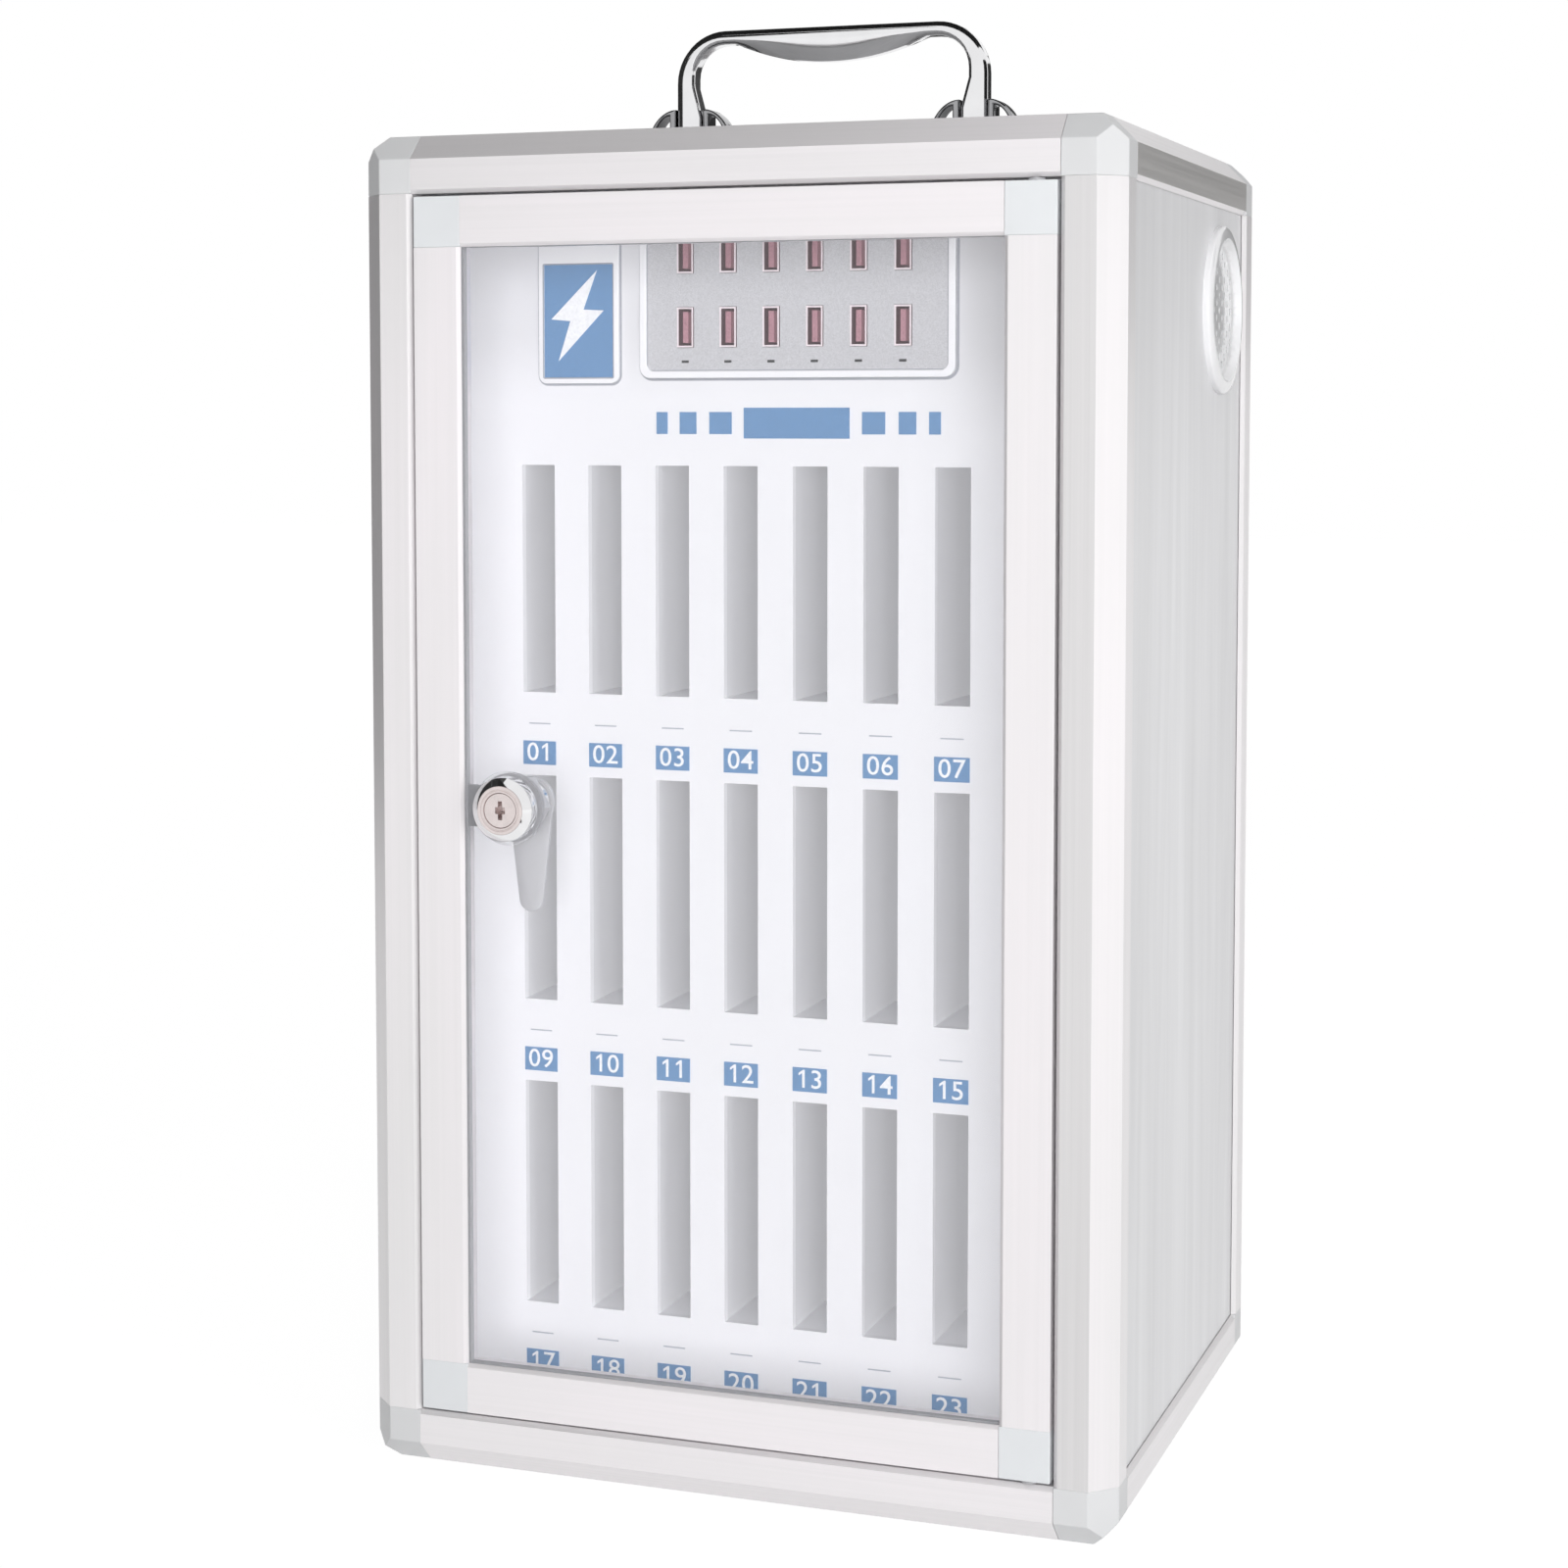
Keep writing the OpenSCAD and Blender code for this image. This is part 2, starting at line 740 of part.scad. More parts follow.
// Outline of the handle in X and Z, with its pivots at Z = 0
function handle_outline() =
    let (
        w = handle_w / 2,
        r = handle_corner_r,
        top = handle_h,
        under = handle_h - grip_end_t,
        ri = r - leg_w,
        sag_r = (grip_swell_l ^ 2 + grip_swell ^ 2) / (2 * grip_swell),
        sag_a = asin(grip_swell_l / sag_r)
    )
    concat(
        [[w, 0]],
        arc([w - r, top - r], r, 0, 90, 12),
        arc([r - w, top - r], r, 90, 180, 12),
        [[-w, 0], [foot_w - w, 0], [foot_w - w, foot_h], [leg_w - w, flare_h]],
        arc([leg_w + ri - w, under - ri], ri, 180, 90, 8),
        arc([0, under - grip_swell + sag_r], sag_r, 270 - sag_a, 270 + sag_a, 24),
        arc([w - leg_w - ri, under - ri], ri, 90, 0, 8),
        [[w - leg_w, flare_h], [w - foot_w, foot_h], [w - foot_w, 0]]
    );

module handle() {
    half = handle_t / 2;
    color("lightgray") translate([0, 0, handle_z]) difference() {
        union() {
            plate_y(-half, half) polygon(handle_outline());
            both_sides() rod_x(half, foot_x - foot_w / 2, foot_x + foot_w / 2);
        }
        both_sides() rod_x(handle_pin_r + seat, foot_x - foot_w, foot_x + foot_w);
    }
}

module handle_pins() {
    reach = ear_x0 + ear_wall + 1;
    color("silver") translate([0, 0, handle_z])
        both_sides() rod_x(handle_pin_r, foot_x - reach, foot_x + reach);
}

// One ear of a bracket: an upright wall with a curved brace, open between the two
module bracket_ear() {
    half = ear_d / 2;
    difference() {
        translate([ear_x0, 0, 0]) plate_y(-half, half) difference() {
            polygon(concat([[0, 0]], quarter_ellipse([0, 0], ear_w, ear_h, 12)));
            polygon(concat(
                [[ear_wall, 0]],
                quarter_ellipse([ear_wall, 0], ear_w - 2 * ear_wall, ear_h - ear_wall, 10)
            ));
        }
        translate([0, 0, pivot_up]) rod_x(handle_pin_r + slip, 0, ear_x0 + ear_w);
    }
}

module handle_bracket(s) {
    color("lightgray") translate([s * foot_x, 0, bracket_z]) {
        both_sides() bracket_ear();
        difference() {
            translate([-bracket_w / 2, -bracket_d / 2, -bracket_t])
                cube([bracket_w, bracket_d, bracket_t]);
            for (i = [-1, 1]) translate([0, i * rivet_y, -bracket_t - 1])
                cylinder(r = rivet_r + seat, h = bracket_t + 2);
        }
    }
}

module at_rivets() {
    for (i = [-1, 1], j = [-1, 1]) translate([i * foot_x, j * rivet_y, 0]) children();
}

module rivet_holes() {
    at_rivets() translate([0, 0, top_z - panel_t - 1])
        cylinder(r = rivet_r + seat, h = panel_t + 2);
}

module bracket_rivets() {
    head_t = 1;
    color("silver") at_rivets() {
        translate([0, 0, top_z - panel_t - head_t])
            cylinder(r = rivet_r, h = panel_t + bracket_t + 2 * head_t);
        translate([0, 0, bracket_z]) cylinder(r = 2.6, h = head_t);
        translate([0, 0, top_z - panel_t - head_t]) cylinder(r = 2.6, h = head_t);
    }
}

// ---- rack ----

function column_x(i) = (i - (columns - 1) / 2) * column_pitch;
function row_z(j) = first_slot_z + j * row_pitch;

module slot_panel() {
    color("white") difference() {
        box([-rack_w / 2, slot_panel_y, bar], [rack_w / 2, rack_y0, rack_top]);
        for (i = [0 : columns - 1], j = [0 : rows - 1])
            box([column_x(i) - slot_w / 2, slot_panel_y - 1, row_z(j)],
                [column_x(i) + slot_w / 2, rack_y0 + 1, row_z(j) + slot_h]);
    }
}

module header_panel() {
    x = case_x + fit;
    color("white") difference() {
        box([-rack_w / 2, slot_panel_y, rack_top], [rack_w / 2, rack_y0, body_h - bar - fit]);
        box([charger_x - x, slot_panel_y - 1, rack_top - 1],
            [charger_x + x, rack_y0 + 1, case_z1 + fit]);
    }
}

// Hollow beams under, between and above the rows
module rack_beams() {
    color("white") for (j = [0 : rows]) {
        h = j == 0 ? base_beam_h : beam_h;
        z1 = row_z(j);
        difference() {
            box([-rack_w / 2, rack_y0, z1 - h], [rack_w / 2, rack_y1, z1]);
            box([-rack_w / 2 - 1, rack_y0 + rack_wall, z1 - h + rack_wall],
                [rack_w / 2 + 1, rack_y1 - rack_wall, z1 - rack_wall]);
        }
    }
}

// Hollow dividers between the pockets of each row; the outer ones reach the rack's ends
module rack_dividers() {
    color("white") for (j = [0 : rows - 1], i = [0 : columns]) {
        x0 = i == 0 ? -rack_w / 2 : column_x(i - 1) + slot_w / 2;
        x1 = i == columns ? rack_w / 2 : column_x(i) - slot_w / 2;
        difference() {
            box([x0, rack_y0, row_z(j)], [x1, rack_y1, row_z(j) + slot_h]);
            box([x0 + rack_wall, rack_y0 + rack_wall, row_z(j) - 1],
                [x1 - rack_wall, rack_y1 - rack_wall, row_z(j) + slot_h + 1]);
        }
    }
}

module rack_back_board() {
    color("white")
        box([-rack_w / 2, rack_y1, bar], [rack_w / 2, rack_y1 + rack_back_t, rack_top]);
}

module slot_labels() {
    color("cornflowerblue") for (i = [0 : columns - 1], j = [0 : rows - 1])
        translate([column_x(i), 0, row_z(j) - label_drop])
            plate_y(slot_panel_y - label_t, slot_panel_y) square([label_w, label_h], center = true);
}

module legend_tiles() {
    color("cornflowerblue") translate([legend_x, 0, legend_z])
        plate_y(slot_panel_y - label_t, slot_panel_y) {
            square(legend_bar, center = true);
            for (s = [-1, 1], tile = legend_squares)
                translate([s * tile[0], 0]) square([tile[1], legend_square_h], center = true);
        }
}

// ---- charger ----

module at_charger() {
    translate([charger_x, 0, charger_z0 + charger_h / 2]) children();
}

module at_ports() {
    for (i = [0 : port_columns - 1], j = [0 : port_rows - 1])
        translate([
            ports_x + (i - (port_columns - 1) / 2) * port_pitch_x,
            0,
            charger_z0 + port_up + j * port_pitch_z
        ]) children();
}

module port_outline(grow) {
    square([port_w + 2 * grow, port_h + 2 * grow], center = true);
}

module charger_faceplate() {
    outer = [charger_w, charger_h];
    field = outer - 2 * [charger_rim, charger_rim];
    color("gainsboro") difference() {
        at_charger() difference() {
            plate_y(charger_face_y, slot_panel_y) rounded(outer, charger_corner_r);
            plate_y(charger_face_y - 1, charger_field_y)
                rounded(field, charger_corner_r - charger_rim / 2);
        }
        at_ports() plate_y(charger_face_y - 1, slot_panel_y + 1) port_outline(port_wall + fit / 2);
    }
}

module charger_case() {
    color("lightgray") difference() {
        box([charger_x - case_x, slot_panel_y, rack_top],
            [charger_x + case_x, slot_panel_y + case_d, case_z1]);
        at_ports() plate_y(slot_panel_y - 1, charger_field_y - port_proud + port_d)
            port_outline(port_wall + fit / 2);
    }
}

module usb_port_shells() {
    y0 = charger_field_y - port_proud;
    color("mistyrose") at_ports() difference() {
        plate_y(y0, y0 + port_d) port_outline(port_wall);
        plate_y(y0 - 1, y0 + port_d - port_wall) port_outline(0);
    }
}

module usb_port_tongues() {
    y1 = charger_field_y - port_proud + port_d - port_wall;
    color("rosybrown") at_ports() plate_y(charger_field_y + 0.3, y1)
        square([port_w - 2.9, port_h - 2], center = true);
}

module port_indicators() {
    color("dimgray") for (i = [0 : port_columns - 1])
        translate([ports_x + (i - (port_columns - 1) / 2) * port_pitch_x, 0, charger_z0 + 5.8])
            plate_y(charger_field_y - 0.3, charger_field_y) square([2.6, 0.9], center = true);
}

// ---- charging sign ----

module sign_bezel() {
    field_z = sign_z0 + sign_margin;
    color("white") difference() {
        translate([-sign_left, 0, sign_z0 + sign_h / 2])
            plate_y(slot_panel_y - sign_t, slot_panel_y) rounded([sign_w, sign_h], 3);
        box([-sign_left - sign_field_w / 2 - fit / 2, slot_panel_y - sign_t - 1, field_z - fit / 2],
            [-sign_left + sign_field_w / 2 + fit / 2, slot_panel_y - 0.6,
                field_z + sign_field_h + fit / 2]);
    }
}

module sign_field() {
    field_z = sign_z0 + sign_margin;
    color("cornflowerblue")
        box([-sign_left - sign_field_w / 2, slot_panel_y - sign_t + 0.3, field_z],
            [-sign_left + sign_field_w / 2, slot_panel_y - 0.6, field_z + sign_field_h]);
}

// ---- power inlet ----

module at_inlet() {
    translate([charger_x, 0, inlet_z]) children();
}

module power_inlet() {
    outer_y = inlet_y + inlet_flange_t;
    color("dimgray") at_inlet() difference() {
        union() {
            plate_y(inlet_y, outer_y) rounded([inlet_w, inlet_h], 2);
            plate_y(inlet_y - inlet_d, outer_y) square(inlet_body, center = true);
        }
        plate_y(outer_y - inlet_socket_d, outer_y + 1) square(inlet_socket, center = true);
    }
}

module inlet_pins() {
    floor_y = inlet_y + inlet_flange_t - inlet_socket_d;
    color("silver") at_inlet() plate_y(floor_y, floor_y + 11)
        for (p = inlet_pins_at) translate(p) square(inlet_pin, center = true);
}

module inlet_lead() {
    color("dimgray") at_inlet() rod_y(lead_r, slot_panel_y + case_d, inlet_y - inlet_d);
}

// ---- vents ----

// A round cap: a raised ring around a sunken, drilled middle, on a spigot that stands in the panel
module vent_cover(s) {
    floor_h = vent_rise - vent_dish;
    color("white") scale_x(s) translate([hx - panel_recess, vent_y, vent_z]) rotate([0, 90, 0])
        difference() {
            rotate_extrude() polygon(concat(
                [[0, floor_h - vent_wall], [0, floor_h], [vent_bore_r, floor_h]],
                quarter_ellipse([vent_crest_r, vent_flange_t], vent_r - vent_crest_r,
                    vent_rise - vent_flange_t, 8),
                [
                    [vent_r, 0], [vent_spigot_r, 0], [vent_spigot_r, -panel_t],
                    [vent_bore_r, -panel_t], [vent_bore_r, floor_h - vent_wall]
                ]
            ));
            for (i = [-vent_rings : vent_rings], j = [-vent_rings : vent_rings])
                if (abs(i + j) <= vent_rings)
                    translate([
                        (i + j / 2) * vent_pitch, j * vent_pitch * sqrt(3) / 2,
                        floor_h - vent_wall / 2
                    ]) cylinder(d = vent_hole_d, h = vent_wall + 1, center = true, $fn = 12);
        }
}

post(-1, -1);  // post_front_left
post(1, -1);  // post_front_right
post(-1, 1);  // post_back_left
post(1, 1);  // post_back_right
rail_x(-1, 1);  // rail_top_front
rail_x(1, 1);  // rail_top_back
rail_y(-1, 1);  // rail_top_left
rail_y(1, 1);  // rail_top_right
rail_x(-1, -1);  // rail_bottom_front
rail_x(1, -1);  // rail_bottom_back
rail_y(-1, -1);  // rail_bottom_left
rail_y(1, -1);  // rail_bottom_right
corner_connectors(1);  // corner_connectors_top
corner_connectors(-1);  // corner_connectors_bottom
side_panel(-1);  // side_panel_left
side_panel(1);  // side_panel_right
back_panel();
top_panel();
bottom_panel();
door_stile(-1);  // door_stile_lock
door_stile(1);  // door_stile_hinge
door_rail(1);  // door_rail_top
door_rail(-1);  // door_rail_bottom
door_corner_blocks();
door_pane();
pane_gasket();
hinge_pins();
hinge_bushes();
lock_rosette();
lock_body();
lock_nut();
lock_backing_plate();
lock_plug();
lock_cam();
cam_screw();
handle();
handle_pins();
handle_bracket(-1);  // handle_bracket_left
handle_bracket(1);  // handle_bracket_right
bracket_rivets();
slot_panel();
header_panel();
rack_beams();
rack_dividers();
rack_back_board();
slot_labels();
legend_tiles();
charger_faceplate();
charger_case();
usb_port_shells();
usb_port_tongues();
port_indicators();
sign_bezel();
sign_field();
power_inlet();
inlet_pins();
inlet_lead();
vent_cover(-1);  // vent_cover_left
vent_cover(1);  // vent_cover_right
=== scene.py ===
"""Scene of the phone locker box: an aluminium framed cabinet with a clear door and a charger."""
import json
import math

import bmesh
import bpy
from mathutils import Matrix, Vector


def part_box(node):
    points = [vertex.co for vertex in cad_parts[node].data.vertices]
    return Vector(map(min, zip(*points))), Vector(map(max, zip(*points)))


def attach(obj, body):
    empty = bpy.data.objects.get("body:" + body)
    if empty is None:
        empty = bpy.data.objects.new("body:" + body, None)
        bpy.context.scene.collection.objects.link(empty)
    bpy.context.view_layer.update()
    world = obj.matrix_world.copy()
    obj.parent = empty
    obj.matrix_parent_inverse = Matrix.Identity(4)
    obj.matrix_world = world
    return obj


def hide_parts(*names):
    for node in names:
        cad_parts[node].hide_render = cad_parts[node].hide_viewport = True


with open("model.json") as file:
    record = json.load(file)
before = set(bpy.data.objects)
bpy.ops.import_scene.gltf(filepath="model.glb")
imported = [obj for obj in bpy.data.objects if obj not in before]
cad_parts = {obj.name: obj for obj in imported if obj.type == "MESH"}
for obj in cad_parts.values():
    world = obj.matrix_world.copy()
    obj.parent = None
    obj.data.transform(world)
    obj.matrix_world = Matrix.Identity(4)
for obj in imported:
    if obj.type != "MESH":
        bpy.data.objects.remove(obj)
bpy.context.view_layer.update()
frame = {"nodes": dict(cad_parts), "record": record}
nodes = frame["nodes"]
MM = 0.001


# ---- node helpers ----

class Shade:
    """A Principled material with short calls for the nodes that give it its detail."""

    def __init__(self, name, colour, rough, metallic=0.0, **sockets):
        self.m = bpy.data.materials.new(name)
        self.m.use_nodes = True
        self.m.diffuse_color = (*colour, 1)
        self.t = self.m.node_tree
        self.p = self.t.nodes["Principled BSDF"]
        self.p.inputs["Base Color"].default_value = (*colour, 1)
        self.p.inputs["Roughness"].default_value = rough
        self.p.inputs["Metallic"].default_value = metallic
        for key, value in sockets.items():
            self.p.inputs[key.replace("_", " ")].default_value = value
        self.coord = self.node("ShaderNodeTexCoord").outputs["Object"]
        self.last_bump = None

    def node(self, kind, **values):
        n = self.t.nodes.new(kind)
        for key, value in values.items():
            setattr(n, key, value)
        return n

    def put(self, source, target):
        self.t.links.new(source, target)
        return source

    def noise(self, scale, detail=3.0, rough=0.55, warp=0.0):
        """Noise over the object, scale per metre along X, Y and Z."""
        if isinstance(scale, (int, float)):
            scale = (scale, scale, scale)
        move = self.node("ShaderNodeMapping")
        move.inputs["Scale"].default_value = scale
        self.put(self.coord, move.inputs["Vector"])
        n = self.node("ShaderNodeTexNoise")
        n.inputs["Scale"].default_value = 1.0
        n.inputs["Detail"].default_value = detail
        n.inputs["Roughness"].default_value = rough
        n.inputs["Distortion"].default_value = warp
        self.put(move.outputs["Vector"], n.inputs["Vector"])
        return n.outputs["Fac"]

    def remap(self, value, lo, hi, out_lo=0.0, out_hi=1.0):
        n = self.node("ShaderNodeMapRange")
        for key, v in zip(("From Min", "From Max", "To Min", "To Max"), (lo, hi, out_lo, out_hi)):
            n.inputs[key].default_value = v
        self.put(value, n.inputs["Value"])
        return n.outputs["Result"]

    def mix(self, fac, a, b):
        """Colours a and b, each a tuple or a socket, mixed by fac."""
        n = self.node("ShaderNodeMix", data_type="RGBA")
        for slot, value in ((6, a), (7, b)):
            if isinstance(value, tuple):
                n.inputs[slot].default_value = (*value, 1)
            else:
                self.put(value, n.inputs[slot])
        self.put(fac, n.inputs[0])
        return n.outputs[2]

    def math(self, kind, a, b):
        n = self.node("ShaderNodeMath", operation=kind)
        for slot, value in enumerate((a, b)):
            if isinstance(value, (int, float)):
                n.inputs[slot].default_value = value
            else:
                self.put(value, n.inputs[slot])
        return n.outputs[0]

    def axis(self, letter):
        n = self.node("ShaderNodeSeparateXYZ")
        self.put(self.coord, n.inputs[0])
        return n.outputs[letter]

    def step(self, value, edge, soft=0.00005):
        """0 below the edge and 1 above it."""
        return self.remap(value, edge - soft, edge + soft)

    def colour(self, socket):
        self.put(socket, self.p.inputs["Base Color"])
        return self

    def rough(self, fac, lo, hi):
        self.put(self.remap(fac, 0.3, 0.7, lo, hi), self.p.inputs["Roughness"])
        return self

    def bump(self, fac, strength, distance):
        n = self.node("ShaderNodeBump")
        n.inputs["Strength"].default_value = strength
        n.inputs["Distance"].default_value = distance
        self.put(fac, n.inputs["Height"])
        if self.last_bump:
            self.put(self.last_bump, n.inputs["Normal"])
        self.last_bump = n.outputs["Normal"]
        self.put(self.last_bump, self.p.inputs["Normal"])
        return self


def tone(colour, k):
    return tuple(c * k for c in colour)


def along(axis, fine, coarse):
    """Scales of streaks that run along an axis."""
    return tuple(coarse if a == axis else fine for a in "XYZ")


def anodised(name, axis, colour, rough=0.36, metallic=0.4, painted_shade=None):
    """Satin anodised extrusion, with die lines along it and faint cloudy variation.

    A painted shade is (axis, sign, colour): a darker tone painted as shade on the faces that look that way,
    after the photo."""
    s = Shade(name, colour, rough, metallic)
    lines = s.noise(along(axis, 900, 5), 2.0)
    cloud = s.noise(along(axis, 30, 4), 3.0, warp=0.4)
    warm = s.mix(s.remap(cloud, 0.3, 0.7), tone(colour, 0.955), tuple(
        c * k for c, k in zip(colour, (1.02, 1.0, 1.015))))
    paint = s.mix(s.remap(lines, 0.25, 0.75, 0.0, 0.3), warm, tone(colour, 0.9))
    # Painted shade: faces that look along the axis take the darker tone.
    if painted_shade:
        letter, sign, other = painted_shade
        facing = s.node("ShaderNodeSeparateXYZ")
        s.put(s.node("ShaderNodeTexCoord").outputs["Normal"], facing.inputs[0])
        shaded = s.mix(s.remap(lines, 0.25, 0.75), tone(other, 0.97), tone(other, 1.04))
        paint = s.mix(s.step(s.math("MULTIPLY", facing.outputs[letter], sign), 0.9, 0.04), paint, shaded)
    s.colour(paint)
    s.rough(lines, rough - 0.05, rough + 0.07)
    return s.bump(lines, 0.12, 0.00005).m


def moulded(name, colour, rough=0.42, grain=1800, depth=0.00004, **sockets):
    """Moulded plastic: a fine even grain, and slow changes of tone."""
    s = Shade(name, colour, rough, **sockets)
    g = s.noise(grain, 2.0)
    slow = s.noise(28, 2.0)
    s.colour(s.mix(s.remap(slow, 0.3, 0.7), tone(colour, 0.965), tone(colour, 1.015)))
    s.rough(s.noise(160, 3.0), rough - 0.04, rough + 0.06)
    return s.bump(g, 0.15, depth).m


# ---- materials ----

FRAME = (0.86, 0.846, 0.852)
DOOR = (0.90, 0.88, 0.89)
PLASTIC = (0.735, 0.74, 0.75)
BLOCK = (0.80, 0.82, 0.84)
# Painted shade on the outer side of the top right rail.
RAIL_SIDE_PAINTED_SHADE = (0.50, 0.49, 0.482)
EDGE_HIGHLIGHT_METAL = (0.97, 0.955, 0.962)      # painted highlight: bars and blocks have brighter edges than faces in the photo
EDGE_HIGHLIGHT_PLASTIC = (0.9, 0.905, 0.915)
POST_SHADE = 0.83                      # painted shade: darker tone of the right front post's front face

aluminium = {a: anodised(f"frame_aluminium_{a.lower()}", a, FRAME) for a in "XYZ"}
# The top right rail's outer side and the right front post's front face carry painted shade.
painted_shade_rail = anodised("frame_aluminium_shaded", "Y", FRAME, painted_shade=("X", 1.0, RAIL_SIDE_PAINTED_SHADE))
painted_shade_post = anodised("frame_aluminium_post", "Z", FRAME, painted_shade=("Y", -1.0, tone(FRAME, POST_SHADE)))
door_bar = {a: anodised(f"door_aluminium_{a.lower()}", a, DOOR, 0.38, 0.3) for a in "XZ"}
connector = moulded("connector_plastic", PLASTIC, 0.4)
block = moulded("block_plastic", BLOCK, 0.4)
highlight_metal = {a: anodised(f"edge_aluminium_{a.lower()}", a, EDGE_HIGHLIGHT_METAL, 0.3, 0.2) for a in "XYZ"}
highlight_plastic = moulded("edge_plastic", EDGE_HIGHLIGHT_PLASTIC, 0.34)


def brushed_board():
    """Silver board with a printed brushed film: soft vertical streaks at several widths."""
    base = (0.84, 0.84, 0.855)
    s = Shade("silver_board", base, 0.42, 0.15)
    broad = s.noise((26, 26, 1.6), 4.0, 0.6, 0.6)
    streak = s.noise((120, 120, 5), 4.0, 0.65, 0.5)
    hair = s.noise((1100, 1100, 14), 2.0)
    c = s.mix(s.remap(broad, 0.3, 0.7), tone(base, 0.88), tone(base, 1.1))
    c = s.mix(s.remap(streak, 0.35, 0.7, 0.0, 0.45), c, tone(base, 0.9))
    c = s.mix(s.remap(hair, 0.3, 0.8, 0.0, 0.25), c, (0.8, 0.79, 0.8))
    s.colour(c).rough(streak, 0.36, 0.5)
    return s.bump(hair, 0.08, 0.00004).m


def board(name, colour, rough=0.35, shade_fade=None):
    """Satin white board with a very slight orange peel.

    A shade fade is (axis, from, to, tone): painted shade that tints the board darker along that axis."""
    s = Shade(name, colour, rough)
    paint = s.mix(s.remap(s.noise(14, 2.0), 0.3, 0.7), tone(colour, 0.975), tone(colour, 1.01))
    if shade_fade:
        axis, start, end, last = shade_fade
        paint = s.mix(s.remap(s.axis(axis), start, end), paint, tone(colour, last))
    s.colour(paint)
    s.rough(s.noise(220, 2.0), rough - 0.05, rough + 0.06)
    return s.bump(s.noise(700, 2.0), 0.06, 0.00005).m


def clear_acrylic(name, colour, rough=0.012):
    """Clear sheet that casts almost no shadow, with faint wiping marks in its gloss."""
    s = Shade(name, colour, rough, Transmission_Weight=1.0, IOR=1.49)
    s.put(s.remap(s.noise((60, 60, 22), 4.0, 0.6, 1.2), 0.45, 0.8, rough, 0.05), s.p.inputs["Roughness"])
    clear = s.node("ShaderNodeBsdfTransparent")
    clear.inputs["Color"].default_value = (*colour, 1)
    path = s.node("ShaderNodeLightPath")
    both = s.node("ShaderNodeMixShader")
    s.put(path.outputs["Is Shadow Ray"], both.inputs[0])
    s.put(s.p.outputs[0], both.inputs[1])
    s.put(clear.outputs[0], both.inputs[2])
    s.put(both.outputs[0], s.t.nodes["Material Output"].inputs["Surface"])
    return s.m


def chromed(name, colour=(0.82, 0.82, 0.83), rough=0.07):
    """Bright plating over a cast base: a slow ripple, and fine rubbing marks in its gloss."""
    s = Shade(name, colour, rough, 1.0)
    s.rough(s.noise(420, 4.0, 0.7), rough - 0.03, rough + 0.05)
    s.colour(s.mix(s.remap(s.noise(90, 2.0), 0.3, 0.7), tone(colour, 0.96), tone(colour, 1.02)))
    return s.bump(s.noise(150, 2.0), 0.1, 0.00012).m


RINGS_PER_M = 9000.0    # turning marks, in radians of their wave per metre


def turned(name, centre, colour, rough=0.2):
    """Bright metal turned about Y at the centre (x, z): fine rings."""
    s = Shade(name, colour, rough, 1.0)
    dx = s.math("SUBTRACT", s.axis("X"), centre[0])
    dz = s.math("SUBTRACT", s.axis("Z"), centre[1])
    r = s.math("SQRT", s.math("ADD", s.math("MULTIPLY", dx, dx), s.math("MULTIPLY", dz, dz)), 0.0)
    rings = s.math("SINE", s.math("MULTIPLY", r, RINGS_PER_M), 0.0)
    s.put(s.remap(rings, -1, 1, rough - 0.05, rough + 0.08), s.p.inputs["Roughness"])
    s.colour(s.mix(s.remap(s.noise(300, 3.0), 0.3, 0.7), tone(colour, 0.93), tone(colour, 1.03)))
    return s.bump(rings, 0.12, 0.00003).m


def printed(name, colour):
    """Screen print: even ink with a slight mottle."""
    s = Shade(name, colour, 0.4)
    s.colour(s.mix(s.remap(s.noise(900, 3.0), 0.3, 0.7), tone(colour, 0.93), tone(colour, 1.06)))
    s.rough(s.noise(500, 2.0), 0.34, 0.46)
    return s.bump(s.noise(1400, 2.0), 0.08, 0.00002).m


BLUE = (0.135, 0.275, 0.49)
LOCK = [frame["record"]["behaviour"]["joints"][1]["pos_m"][i] for i in (0, 2)]
board_silver = brushed_board()
PANEL_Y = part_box("slot_panel")[0][1]
FASCIA = (0.87, 0.87, 0.893)
FADE_X = (0.05, 0.09)    # where the painted shade of the front boards grows darker towards their right side
SKIN = 0.001             # depth behind the slot panel's front at which the rack's painted shade starts
# Painted shade in the pockets: the dividers' grey is a darker copy of the shelves' white, and both grow
# darker towards the back.
DIVIDER, DIVIDER_FADE, DIVIDER_BACK_SHADE = (0.73, 0.73, 0.75), 0.03, 0.84
SHELF, SHELF_FADE, SHELF_BACK_SHADE = (0.93, 0.93, 0.95), 0.05, 0.86


def rack_board(name, colour, depth, last):
    """Board of the rack, with painted shade: darker towards the back over a depth, after the photo."""
    return board(name, colour, 0.5, ("Y", PANEL_Y + SKIN, PANEL_Y + depth, last))


rack_white = rack_board("rack_board", DIVIDER, DIVIDER_FADE, DIVIDER_BACK_SHADE)


